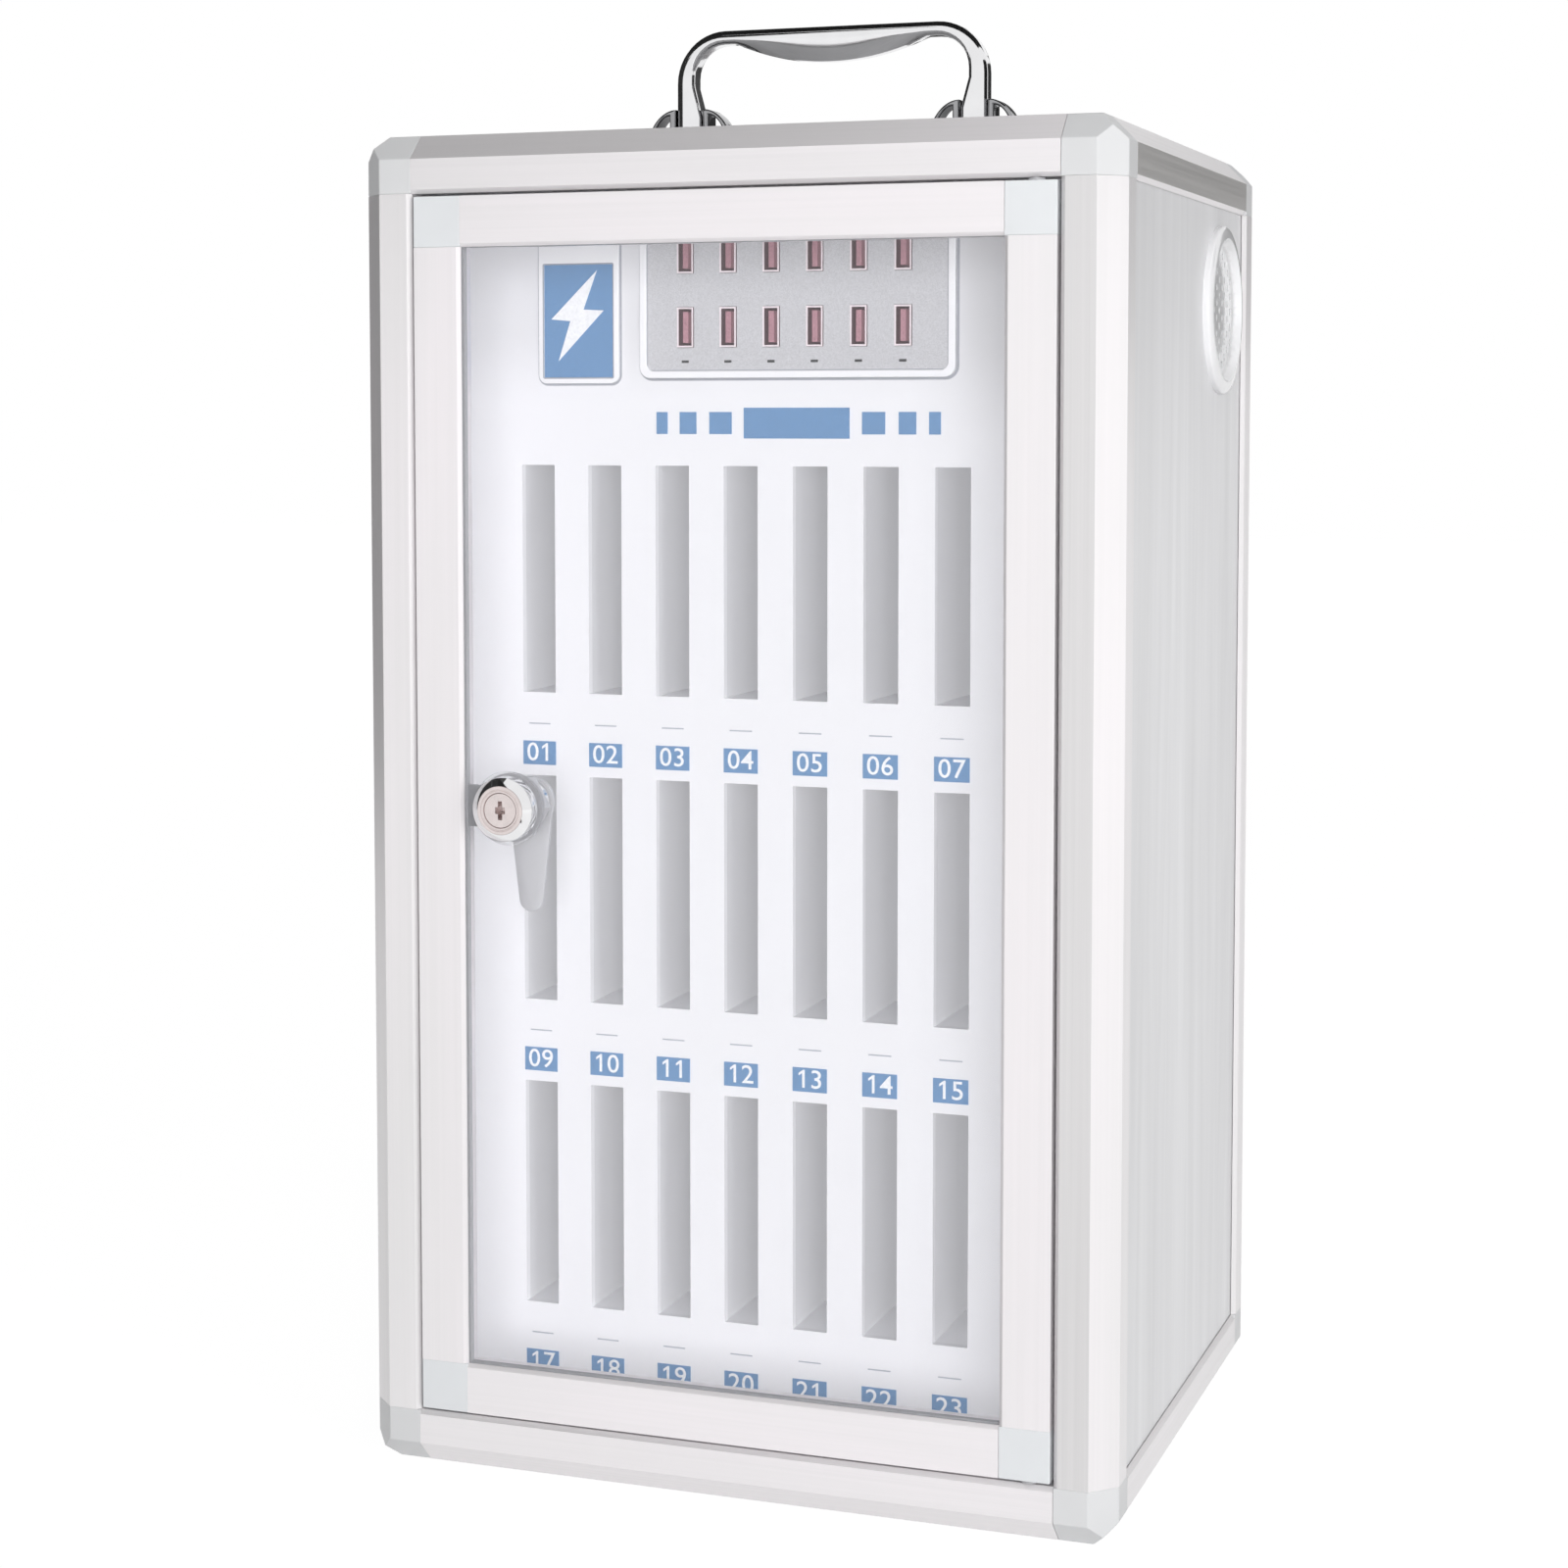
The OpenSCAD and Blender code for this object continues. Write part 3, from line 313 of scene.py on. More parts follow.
def front_board():
    """White board with painted shade: darker above the slots and towards its right side, after the photo.
    """
    s = Shade("front_board", FASCIA, 0.35)
    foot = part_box("header_panel")[0][2]
    # Painted shade: darker above the slots, along the right side, and darkest at the top right corner.
    top, side, side_top, corner = (tone(FASCIA, k) for k in (0.88, 0.87, 0.67, 0.57))
    left = s.mix(s.remap(s.axis("Z"), foot - 0.008, foot + 0.016), FASCIA, top)
    low = s.mix(s.remap(s.axis("Z"), foot - 0.02, foot + 0.008), side, side_top)
    right = s.mix(s.remap(s.axis("Z"), foot + 0.005, foot + 0.04), low, corner)
    paint = s.mix(s.remap(s.axis("X"), *FADE_X), left, right)
    s.colour(s.mix(s.remap(s.noise(14, 2.0), 0.3, 0.7, 0.0, 0.12), paint, (0.8, 0.8, 0.82)))
    s.rough(s.noise(220, 2.0), 0.3, 0.41)
    return s.bump(s.noise(700, 2.0), 0.06, 0.00005).m


fascia = front_board()
rack_floor = rack_board("rack_floor", SHELF, SHELF_FADE, SHELF_BACK_SHADE)
pane = clear_acrylic("clear_acrylic", (0.985, 0.985, 0.995))
washer = Shade("clear_washer", (0.86, 0.86, 0.9), 0.15, Alpha=0.16)
washer.rough(washer.noise(300, 3.0), 0.1, 0.3)
chrome = chromed("chrome")
lock_face = turned("lock_face", LOCK, (0.74, 0.665, 0.655))
steel = chromed("steel", (0.56, 0.56, 0.57), 0.3)
bracket_chrome = chromed("bracket_chrome", (0.36, 0.36, 0.37), 0.1)
zinc = moulded("zinc_plate", (0.56, 0.56, 0.58), 0.4, 1500, 0.00003, Metallic=0.3)
dull_zinc = moulded("dull_zinc", (0.42, 0.42, 0.44), 0.45, 1500, 0.00003, Metallic=0.3)
filter_mesh = moulded("filter_mesh", (0.8, 0.8, 0.81), 0.7, 2600, 0.0001)
gloss = moulded("white_gloss", (0.9, 0.9, 0.915), 0.14, 900, 0.00002, Coat_Weight=0.35)
blue = printed("blue_print", BLUE)
white_ink = printed("white_ink", (0.9, 0.91, 0.93))
grey_ink = printed("grey_ink", (0.42, 0.44, 0.5))
# Dark grey of the seams, which also serves as painted shadow.
seam_grey = printed("seam_grey", (0.36, 0.37, 0.41))
rubber = moulded("grey_rubber", (0.43, 0.43, 0.45), 0.7, 2400, 0.00008)
dark = moulded("dark_plastic", (0.03, 0.03, 0.033), 0.45)


def port_shell():
    """Pale pink rim, with the walls inside painted dark mauve as shade in the recess."""
    rim, inner = (0.84, 0.75, 0.78), (0.12, 0.065, 0.08)
    s = Shade("port_shell", rim, 0.35)
    grain = s.noise(2400, 2.0)
    pale = s.mix(s.remap(grain, 0.3, 0.7), tone(rim, 0.96), tone(rim, 1.02))
    # Faces behind the rim's front take the dark tone: painted shade in the port's recess.
    s.colour(s.mix(s.step(s.axis("Y"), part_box("usb_port_shells")[0][1] + 0.00015), pale, inner))
    s.rough(grain, 0.3, 0.42)
    return s.bump(grain, 0.12, 0.00003).m


def port_tongue():
    """Mauve tongue with a fine grain."""
    base = (0.42, 0.22, 0.26)
    s = Shade("port_tongue", base, 0.4)
    grain = s.noise(1300, 3.0)
    s.colour(s.mix(s.remap(grain, 0.3, 0.7), tone(base, 0.85), tone(base, 1.15)))
    s.rough(grain, 0.34, 0.5)
    return s.bump(grain, 0.15, 0.00004).m


def charger_grey():
    """Silver-grey field with a fine sparkle inside a white rim that stands before it."""
    base = (0.56, 0.56, 0.58)
    s = Shade("charger_grey", base, 0.4)
    spark = s.noise(2600, 2.0)
    field = s.mix(s.remap(spark, 0.35, 0.7), tone(base, 0.9), tone(base, 1.12))
    rim_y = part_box("charger_faceplate")[0][1] + 0.0005
    s.colour(s.mix(s.step(s.axis("Y"), rim_y), (0.9, 0.9, 0.92), field))
    s.rough(spark, 0.33, 0.46)
    return s.bump(spark, 0.1, 0.00002).m


shell = port_shell()
tongue = port_tongue()
charger = charger_grey()
BY_SLOT = {
    "connector_plastic": connector, "silver_board": board_silver, "block_plastic": block,
    "clear_acrylic": pane, "grey_rubber": rubber, "steel": steel, "chrome": chrome,
    "white_gloss": gloss, "white_board": rack_white, "blue_print": blue,
    "charger_grey": charger, "port_shell": shell, "port_tongue": tongue,
    "dark_plastic": dark,
}
BAR_AXIS = {"front": "X", "back": "X", "left": "Y", "right": "Y"}
SPECIAL = {
    "slot_panel": fascia, "header_panel": fascia, "rack_beams": rack_floor,
    "lock_plug": lock_face, "lock_rosette": washer.m, "lock_backing_plate": dull_zinc,
    "lock_cam": zinc, "cam_screw": zinc, "lock_nut": zinc, "hinge_bushes": rubber,
    "rail_top_right": painted_shade_rail, "post_front_right": painted_shade_post,
}


def finish_of(name):
    """The material of a CAD node."""
    if name in SPECIAL:
        return SPECIAL[name]
    if name.startswith("post_"):
        return aluminium["Z"]
    if name.startswith("rail_"):
        return aluminium[BAR_AXIS[name.rsplit("_", 1)[1]]]
    if name.startswith("door_stile"):
        return door_bar["Z"]
    if name.startswith("door_rail"):
        return door_bar["X"]
    return BY_SLOT[nodes[name].data.materials[0].name.split(".")[0]]


body_of = {}
for body, members in frame["record"]["behaviour"]["bodies"].items():
    for member in members:
        body_of[member] = body

for name, obj in nodes.items():
    slot = obj.data.materials[0].name.split(".")[0]
    obj["slot"] = slot
    finish = finish_of(name)
    for i in range(len(obj.material_slots)):
        obj.material_slots[i].material = finish


# ---- pieces ----

def place(name, data):
    """A new object in the scene."""
    obj = bpy.data.objects.new(name, data)
    bpy.context.scene.collection.objects.link(obj)
    return obj


def aim(obj, at, towards):
    """Puts a lamp or a card at a point, facing another."""
    obj.location = at
    obj.rotation_euler = (Vector(towards) - Vector(at)).to_track_quat("-Z", "Y").to_euler()


def add(name, mesh, body, finish):
    """A visual piece of the given finish that rides with a body."""
    obj = place(name, mesh)
    mesh.materials.clear()
    mesh.materials.append(finish)
    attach(obj, body)
    return obj


def soften(bm, width, segments, angle, material=-1, axis=None):
    """Rounds the edges that turn by more than the angle, or only those of them that run along an axis.

    The new faces take the material of the given index."""
    edges = [e for e in bm.edges if len(e.link_faces) == 2 and e.calc_face_angle(0) > math.radians(angle)]
    if axis:
        k = "XYZ".index(axis)
        edges = [e for e in edges if abs((e.verts[0].co - e.verts[1].co).normalized()[k]) > 0.99]
    bmesh.ops.bevel(bm, geom=edges, offset=width, segments=segments, profile=0.5, affect="EDGES",
                    clamp_overlap=True, material=material)


def smooth(mesh, angle=35):
    """Smooth shading that stays sharp at the edges that turn by more than the angle."""
    for p in mesh.polygons:
        p.use_smooth = True
    mesh.set_sharp_from_angle(angle=math.radians(angle))


def even_normals(obj):
    """Keeps the large faces flat beside their softened edges."""
    obj.modifiers.new("normals", "WEIGHTED_NORMAL").keep_sharp = True


WELD = 1e-6         # points this close are one
NO_TURN = math.radians(0.6)    # flat faces that turn by less are joined


def dress(node, width=0.0003, segments=2, angle=28, edge=None, sharp=40, axis=None):
    """A copy of a CAD node with softened edges, in its place. The edges may have their own finish, such as
    a painted highlight.
    """
    bm = bmesh.new()
    bm.from_mesh(nodes[node].data)
    bmesh.ops.remove_doubles(bm, verts=bm.verts, dist=WELD)
    bmesh.ops.dissolve_limit(bm, angle_limit=NO_TURN, verts=bm.verts, edges=bm.edges)
    soften(bm, width, segments, angle, 1 if edge else -1, axis)
    mesh = bpy.data.meshes.new(node + "_dressed")
    bm.to_mesh(mesh)
    bm.free()
    smooth(mesh, sharp)
    obj = add(node + "_dressed", mesh, body_of[node], nodes[node].material_slots[0].material)
    if edge:
        mesh.materials.append(edge)
    even_normals(obj)
    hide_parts(node)


def run_of(name):
    """The axis that a bar of the frame or the door runs along."""
    if name.startswith("door_"):
        return "Z" if "stile" in name else "X"
    return "Z" if name.startswith("post_") else BAR_AXIS[name.rsplit("_", 1)[1]]


BAR_EDGE, BLOCK_EDGE = 0.0006, 0.0004

# The rounded edges of bars and blocks take a paler finish: a painted highlight.
for name in nodes:
    if name.startswith(("post_", "rail_", "door_stile", "door_rail")):
        run = run_of(name)
        dress(name, BAR_EDGE, edge=highlight_metal[run], axis=run)
for name in ("corner_connectors_top", "corner_connectors_bottom", "door_corner_blocks"):
    dress(name, BLOCK_EDGE, edge=highlight_plastic)
dress("sign_bezel", 0.0004, 3, 40)
dress("charger_faceplate", 0.0003, 2, 40)
for side in ("left", "right"):
    dress("vent_cover_" + side, 0.0002, 1, 60, sharp=50)
dress("lock_plug", 0.0002, 2, 40)


def lathe(profile, centre, turns=120):
    """Verts and faces of a (radius, y) profile turned about Y at the centre (x, z)."""
    verts, faces = [], []
    for k in range(turns):
        a = 2 * math.pi * k / turns
        verts += [(centre[0] + r * math.cos(a), y, centre[1] + r * math.sin(a)) for r, y in profile]
    n = len(profile)
    for k in range(turns):
        for i in range(n):
            a, b = k * n, (k + 1) % turns * n
            faces.append((a + i, a + (i + 1) % n, b + (i + 1) % n, b + i))
    return verts, faces


def join(parts, name, body, finish):
    """One mesh of several (verts, faces) lists."""
    verts, faces = [], []
    for vs, fs in parts:
        base = len(verts)
        verts += vs
        faces += [tuple(i + base for i in f) for f in fs]
    mesh = bpy.data.meshes.new(name)
    mesh.from_pydata(verts, [], faces)
    mesh.validate()
    return add(name, mesh, body, finish)


def plate(outline, y0, y1):
    """A flat plate of an (x, z) outline between two depths, in metres."""
    n = len(outline)
    verts = [(x, y0, z) for x, z in outline] + [(x, y1, z) for x, z in outline]
    faces = [tuple(range(n)), tuple(range(2 * n - 1, n - 1, -1))]
    faces += [(i, i + n, (i + 1) % n + n, (i + 1) % n) for i in range(n)]
    return verts, faces


def front_outline(node):
    """The outline of a node's foremost flat face, as ordered (x, z) points, anticlockwise in X and Z."""
    bm = bmesh.new()
    bm.from_mesh(nodes[node].data)
    bmesh.ops.remove_doubles(bm, verts=bm.verts, dist=WELD)
    y = min(v.co.y for v in bm.verts)
    flat = [f for f in bm.faces if all(abs(v.co.y - y) < WELD for v in f.verts)]
    after = {}
    for f in flat:
        for loop in f.loops:
            if not any(g in flat for g in loop.edge.link_faces if g != f):
                after[loop.vert] = loop.link_loop_next.vert
    v = first = next(iter(after))
    points = []
    while True:
        points.append((v.co.x, v.co.z))
        v = after[v]
        if v == first:
            break
    bm.free()
    if sum(a[0] * b[1] - b[0] * a[1] for a, b in zip(points, points[1:] + points[:1])) < 0:
        points.reverse()
    return points, y


LEVEL = 1e-5    # heights this close are the same


def inset(points, depths, keep_z):
    """The outline with each point moved inwards by its depth. Points at keep_z stay at that height."""
    out = []
    for a, b, c, d in zip(points[-1:] + points[:-1], points, points[1:] + points[:1], depths):
        u = Vector((b[0] - a[0], b[1] - a[1])).normalized()
        w = Vector((c[0] - b[0], c[1] - b[1])).normalized()
        if abs(b[1] - keep_z) < LEVEL:
            upright = u if abs(u.y) > abs(w.y) else w
            out.append((b[0] - math.copysign(d, upright.y), b[1]))
            continue
        n = Vector((-u.y - w.y, u.x + w.x)).normalized()
        k = d / max(0.5, n.dot(Vector((-u.y, u.x))))
        out.append((b[0] + n.x * k, b[1] + n.y * k))
    return out


GRIP_X = 0.04    # half the length of the handle's swell
GRIP_T = 0.005   # thickness of the handle at the ends of its swell
LEG_W = 0.007    # width of a leg
FLARE_H = 0.018  # height up to which a leg widens to its foot
NEAR = 0.0005    # slack when a point is told to be on the inner side of the handle
FOOT_TURNS = 20  # steps of the half turn round a foot


def carry_handle(outer=0.003, inner=0.0018, radius=0.0026, steps=8):
    """The handle with rounded edges, turned round its pivots at the feet."""
    pivot = frame["record"]["behaviour"]["joints"][2]["pos_m"][2]
    outline, front = front_outline("handle")
    half = -front
    top = max(z for _, z in outline)
    side = max(x for x, _ in outline)
    inside = [abs(x) < side - LEG_W + NEAR and z < top - GRIP_T + NEAR
              or abs(x) < side - LEG_W / 2 and z < pivot + FLARE_H for x, z in outline]
    swell = [abs(x) < GRIP_X and z > pivot + FLARE_H for x, z in outline]
    extra = [max(0.0, top - GRIP_T - z) if i and s else 0.0 for i, s, (_, z) in zip(inside, swell, outline)]
    rings = []
    for k in range(steps + 1):
        a = math.pi / 2 * k / steps
        deep = 1 - math.cos(a)
        rings.append((inset(outline, [(inner if i else outer) * (1 - math.sin(a)) + e * (1 - deep ** 0.8)
                                      for i, e in zip(inside, extra)], pivot), -half + radius * deep))
    rings += [(points, -y) for points, y in reversed(rings)]
    n = len(outline)
    verts = [(x, y, z) for points, y in rings for x, z in points]
    faces = [tuple(range(n)), tuple(len(verts) - 1 - i for i in range(n))]
    low = [abs(p[1] - pivot) < LEVEL for p in outline]
    for k in range(len(rings) - 1):
        for i in range(n):
            j = (i + 1) % n
            if not (low[i] and low[j]):
                faces.append((k * n + i, k * n + j, (k + 1) * n + j, (k + 1) * n + i)[::-1])
    for i in range(n):
        j = (i + 1) % n
        if not (low[i] and low[j]):
            continue
        ends = [(points[i][0], points[j][0], -y) for points, y in rings[:steps + 1]]
        profile = [(a, r) for a, _, r in reversed(ends)] + [(b, r) for _, b, r in ends]
        profile = [(profile[0][0], 0.0)] + profile + [(profile[-1][0], 0.0)]
        base = len(verts)
        for t in range(FOOT_TURNS + 1):
            a = math.pi * t / FOOT_TURNS
            verts += [(x, -r * math.cos(a), pivot - r * math.sin(a)) for x, r in profile]
        m = len(profile)
        for t in range(FOOT_TURNS):
            for q in range(m - 1):
                c = base + t * m + q
                faces.append((c, c + m, c + m + 1, c + 1))
    mesh = bpy.data.meshes.new("carry_handle")
    mesh.from_pydata(verts, [], faces)
    bm = bmesh.new()
    bm.from_mesh(mesh)
    bmesh.ops.remove_doubles(bm, verts=bm.verts, dist=WELD)
    bmesh.ops.recalc_face_normals(bm, faces=bm.faces)
    bm.to_mesh(mesh)
    bm.free()
    smooth(mesh, 40)
    obj = add("carry_handle", mesh, body_of["handle"], chrome)
    even_normals(obj)
    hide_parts("handle")


carry_handle()


def outward(obj, angle=35):
    """Turns the faces of a piece outwards and shades it smooth."""
    bm = bmesh.new()
    bm.from_mesh(obj.data)
    bmesh.ops.recalc_face_normals(bm, faces=bm.faces)
    bm.to_mesh(obj.data)
    bm.free()
    smooth(obj.data, angle)


def rounded_rect(cx, cy, w, h, r, steps=6):
    """Points round a rectangle with rounded corners, in any plane."""
    points = []
    for sx, sy, start in ((1, 1, 0), (-1, 1, 90), (-1, -1, 180), (1, -1, 270)):
        for k in range(steps + 1):
            a = math.radians(start + 90 * k / steps)
            x, y = cx + sx * (w / 2 - r) + r * math.cos(a), cy + sy * (h / 2 - r) + r * math.sin(a)
            points.append((x, y))
    return points


def slab(cx, w, d, z0, z1, corner, edge):
    """A block with rounded corners and a softened top edge, centred at cx and at y = 0."""
    rings = []
    for cut, z in ((0, z0), (0, z1 - edge), (edge * 0.3, z1 - edge * 0.3), (edge, z1)):
        ring = rounded_rect(cx, 0, w - 2 * cut, d - 2 * cut, corner - cut)
        rings.append([(x, y, z) for x, y in ring])
    return skin(rings)


def skin(rings):
    """Verts and faces of a closed skin over rings of equal length."""
    n = len(rings[0])
    verts = [v for ring in rings for v in ring]
    faces = [tuple(range(n)), tuple(len(verts) - 1 - i for i in range(n))]
    for k in range(len(rings) - 1):
        for i in range(n):
            j = (i + 1) % n
            faces.append((k * n + i, (k + 1) * n + i, (k + 1) * n + j, k * n + j))
    return verts, faces


EAR_W, EAR_WALL, EAR_D, EAR_EDGE = 0.012, 0.0024, 0.009, 0.00112
BRACKET_T, BRACKET_R, BRACKET_EDGE = 0.002, 0.002, 0.0006
EAR_STEPS = 24


def cast_bracket(side):
    """A bracket of the handle: a base, and on each side of the foot an upright wall and a curved brace."""
    node = "handle_bracket_" + side
    lo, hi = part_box(node)
    cx, z0 = (lo[0] + hi[0]) / 2, lo[2] + BRACKET_T
    ear_h = hi[2] - z0
    ear_x = (hi[0] - lo[0]) / 2 - EAR_W - BRACKET_T
    parts = [slab(cx, hi[0] - lo[0], hi[1] - lo[1], lo[2], z0, BRACKET_R, BRACKET_EDGE)]
    stations = []
    for k in range(EAR_STEPS + 1):
        a = math.pi / 2 * k / EAR_STEPS
        inner_x, inner_z = EAR_WALL + (EAR_W - 2 * EAR_WALL) * math.cos(a), (ear_h - EAR_WALL) * math.sin(a)
        stations.append(((EAR_W * math.cos(a), ear_h * math.sin(a)), (inner_x, inner_z)))
    stations.append(((0.0, 0.0), (EAR_WALL, 0.0)))
    for sign in (-1, 1):
        rings = []
        for outer, inner in stations:
            t = math.dist(outer, inner) / 2
            mx, mz = (outer[0] + inner[0]) / 2, (outer[1] + inner[1]) / 2
            ux, uz = (outer[0] - inner[0]) / 2, (outer[1] - inner[1]) / 2
            section = rounded_rect(0, 0, 2 * t, EAR_D, EAR_EDGE, 5)
            rings.append([(cx + sign * (ear_x + mx + u / t * ux), y, z0 + mz + u / t * uz)
                          for u, y in section])
        parts.append(skin(rings))
    obj = join(parts, "cast_bracket_" + side, body_of[node], bracket_chrome)
    outward(obj, 40)
    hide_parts(node)


for side in ("left", "right"):
    cast_bracket(side)


BEVEL_RISE = 0.72    # depth of the head's bevel per unit of its width


def lock_head():
    """The lock's head and barrel: a flat ring with a groove at the front, and a bevel round it."""
    lo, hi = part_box("lock_body")
    r = (hi[0] - lo[0]) / 2
    y, back = lo[1], hi[1]
    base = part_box("lock_rosette")[0][1]
    bore, groove, face, barrel = 0.00605, 0.0071, 0.0084, 0.008
    ring_back = y + 0.001
    front = [(bore, y + 0.0004), (bore + 0.0002, y + 0.0001),
             (groove - 0.00025, y), (groove - 0.0001, y + 0.0002),
             (groove + 0.0001, y + 0.0002), (groove + 0.00025, y),
             (face - 0.0002, y), (face, y + 0.0001), (face, ring_back), (bore, ring_back)]
    ring = join([lathe(front, LOCK)], "lock_front_ring", body_of["lock_body"], lock_face)
    outward(ring)
    slope = (r - 0.0001 - face) * BEVEL_RISE
    profile = [(bore, y + 0.0008), (face - 0.0004, y + 0.0008), (face + 0.0001, y + 0.0002),
               (r - 0.0003, y + slope), (r - 0.0001, y + slope + 0.0003),
               (r - 0.0001, base - 0.0006), (r, base), (barrel, base), (barrel, back), (bore, back)]
    head = join([lathe(profile, LOCK)], "lock_head", body_of["lock_body"], chrome)
    outward(head)
    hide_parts("lock_body")


lock_head()


def arc(cx, cz, r, degrees):
    """Points at the given angles round a centre."""
    return [(cx + r * math.cos(math.radians(a)), cz + r * math.sin(math.radians(a))) for a in degrees]


def cam_arm():
    """The cam: a round boss, and an arm that narrows to a round tip."""
    lo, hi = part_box("lock_cam")
    x, z = LOCK
    boss, tip, reach = 0.009, 0.0045, LOCK[1] - lo[2]
    points = arc(x, z, boss, range(-25, 206, 10)) + arc(x, z - reach + tip, tip, range(180, 361, 15))
    obj = join([plate(points, lo[1], hi[1])], "cam_arm", body_of["lock_cam"], zinc)
    bm = bmesh.new()
    bm.from_mesh(obj.data)
    soften(bm, 0.0003, 2, 50)
    bm.to_mesh(obj.data)
    bm.free()
    outward(obj, 40)
    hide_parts("lock_cam")


cam_arm()


FILTER_R, FILTER_T = 0.0252, 0.0003


def vent_filter(side):
    """A pale dust filter across the inner end of a vent cover."""
    lo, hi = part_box("vent_cover_" + side)
    y, z, r = (lo[1] + hi[1]) / 2, (lo[2] + hi[2]) / 2, FILTER_R
    x = lo[0] if side == "right" else hi[0]
    step = -FILTER_T if side == "right" else FILTER_T
    turns = 64
    rings = [[(d, y + q * math.cos(2 * math.pi * k / turns), z + q * math.sin(2 * math.pi * k / turns))
              for k in range(turns)] for d, q in ((x, r), (x + step * 0.5, r), (x + step, r - 0.0002))]
    body = body_of["vent_cover_" + side]
    outward(join([skin(rings)], "vent_filter_" + side, body, filter_mesh))


for side in ("left", "right"):
    vent_filter(side)


SUNK = 0.0001    # how far ink and seams reach into the face they lie on


def seam(node, r, width, y, grow=0.0):
    """A flat dark line of the given width round the front view of a node's box, grown outwards: a seam,
    darkened as painted shadow.
    """
    lo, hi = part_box(node)
    cx, cz = (lo[0] + hi[0]) / 2, (lo[2] + hi[2]) / 2
    w, h = hi[0] - lo[0] + 2 * grow, hi[2] - lo[2] + 2 * grow
    inner = rounded_rect(cx, cz, w, h, r + grow)
    outer = rounded_rect(cx, cz, w + 2 * width, h + 2 * width, r + grow + width)
    n = len(inner)
    verts = [(x, d, z) for d in (y - SUNK, y + SUNK) for ring in (inner, outer) for x, z in ring]
    faces = []
    for i in range(n):
        j = (i + 1) % n
        faces += [(i, j, n + j, n + i), (2 * n + i, 3 * n + i, 3 * n + j, 2 * n + j),
                  (i, 2 * n + i, 2 * n + j, j), (n + i, n + j, 3 * n + j, 3 * n + i)]
    return verts, faces


SIGN_R, CHARGER_R, CHARGER_RIM, CHARGER_FIELD_D = 0.003, 0.004, 0.0025, 0.001
SIGN_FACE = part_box("sign_bezel")[0][1]
CHARGER_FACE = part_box("charger_faceplate")[0][1]
THIN = 0.0004    # width of the seam and its painted shadow round a field, inside its rim
# Dark lines round the sign and the charger: seams where parts meet, drawn dark as painted shadow.
for name, host, parts in (
        ("sign_seams", "sign_bezel", [
            seam("sign_bezel", SIGN_R, 0.0008, PANEL_Y),
            seam("sign_field", 0.0002, THIN, SIGN_FACE, 0.0001)]),
        ("charger_seams", "charger_faceplate", [
            seam("charger_faceplate", CHARGER_R, 0.0009, PANEL_Y),
            seam("charger_faceplate", CHARGER_R, THIN, CHARGER_FACE + CHARGER_FIELD_D,
                 -CHARGER_RIM - THIN)])):
    outward(join(parts, name, body_of[host], seam_grey), 30)

POCKET_SLACK = 0.0004    # from a slot's floor to the stated opening above it
pockets = [o for o in frame["record"]["physics"]["openings"] if o["name"].startswith("pocket_")]
COLUMN_X = sorted({round((o["box_m"][0][0] + o["box_m"][1][0]) / 2, 6) for o in pockets})
SLOT_FLOORS = sorted({round(o["box_m"][0][2] - POCKET_SLACK, 6) for o in pockets}, reverse=True)
LABEL_LOW, LABEL_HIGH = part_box("slot_labels")
LABEL_Y = LABEL_LOW[1]
LABEL_H = LABEL_HIGH[2] - LABEL_LOW[2] - (SLOT_FLOORS[0] - SLOT_FLOORS[-1])
LABEL_DROP = SLOT_FLOORS[-1] - LABEL_LOW[2] - LABEL_H / 2
COLUMNS = len(COLUMN_X)
INK = 0.00008    # thickness of the ink on the labels and the slot panel
LINE_W, LINE_H, LINE_DROP = 0.0084, 0.00045, 0.0114


def rows_and_columns():
    """Row, column and middle of each pocket."""
    for r in range(len(SLOT_FLOORS)):
        for c, x in enumerate(COLUMN_X):
            yield r, c, x


def oblong(x, z, w, h):
    """The corners of an upright rectangle round a centre."""
    return [(x - w / 2, z - h / 2), (x + w / 2, z - h / 2), (x + w / 2, z + h / 2), (x - w / 2, z + h / 2)]


join([plate(oblong(x, SLOT_FLOORS[r] - LINE_DROP, LINE_W, LINE_H), PANEL_Y - INK, PANEL_Y + SUNK)
      for r, c, x in rows_and_columns()],
     "write_on_lines", body_of["slot_panel"], grey_ink)


# The outline of the one, in mm round its middle. The other digits come from Blender's own font.
ONE = [(-0.18, -2.85), (0.8, -2.85), (0.8, 3.62), (0.12, 3.62), (-1.5, 2.4), (-1.5, 1.45), (-0.18, 2.35)]
DIGIT_PITCH, DIGIT_SIZE, DIGIT_WEIGHT, DIGIT_STRETCH = 0.00518, 0.0094, 0.00004, 1.06


def digit(char):
    """A digit as raised ink round the origin, in the plane of X and Z."""
    if char == "1":
        mesh = bpy.data.meshes.new("digit")
        verts, faces = plate([(x * MM, z * MM) for x, z in ONE], -INK / 2, INK / 2)
        mesh.from_pydata(verts, [], faces)
        return mesh
    curve = bpy.data.curves.new("digit", "FONT")
    curve.body = char
    curve.size = DIGIT_SIZE
    curve.offset = DIGIT_WEIGHT
    curve.align_x, curve.align_y = "CENTER", "CENTER"
    curve.extrude = INK / 2
    curve.resolution_u = 4
    text = place("digit", curve)
    mesh = bpy.data.meshes.new_from_object(text)
    for v in mesh.vertices:
        v.co = Vector((v.co.x * DIGIT_STRETCH, -v.co.z, v.co.y))
    bpy.data.objects.remove(text)
    bpy.data.curves.remove(curve)
    return mesh


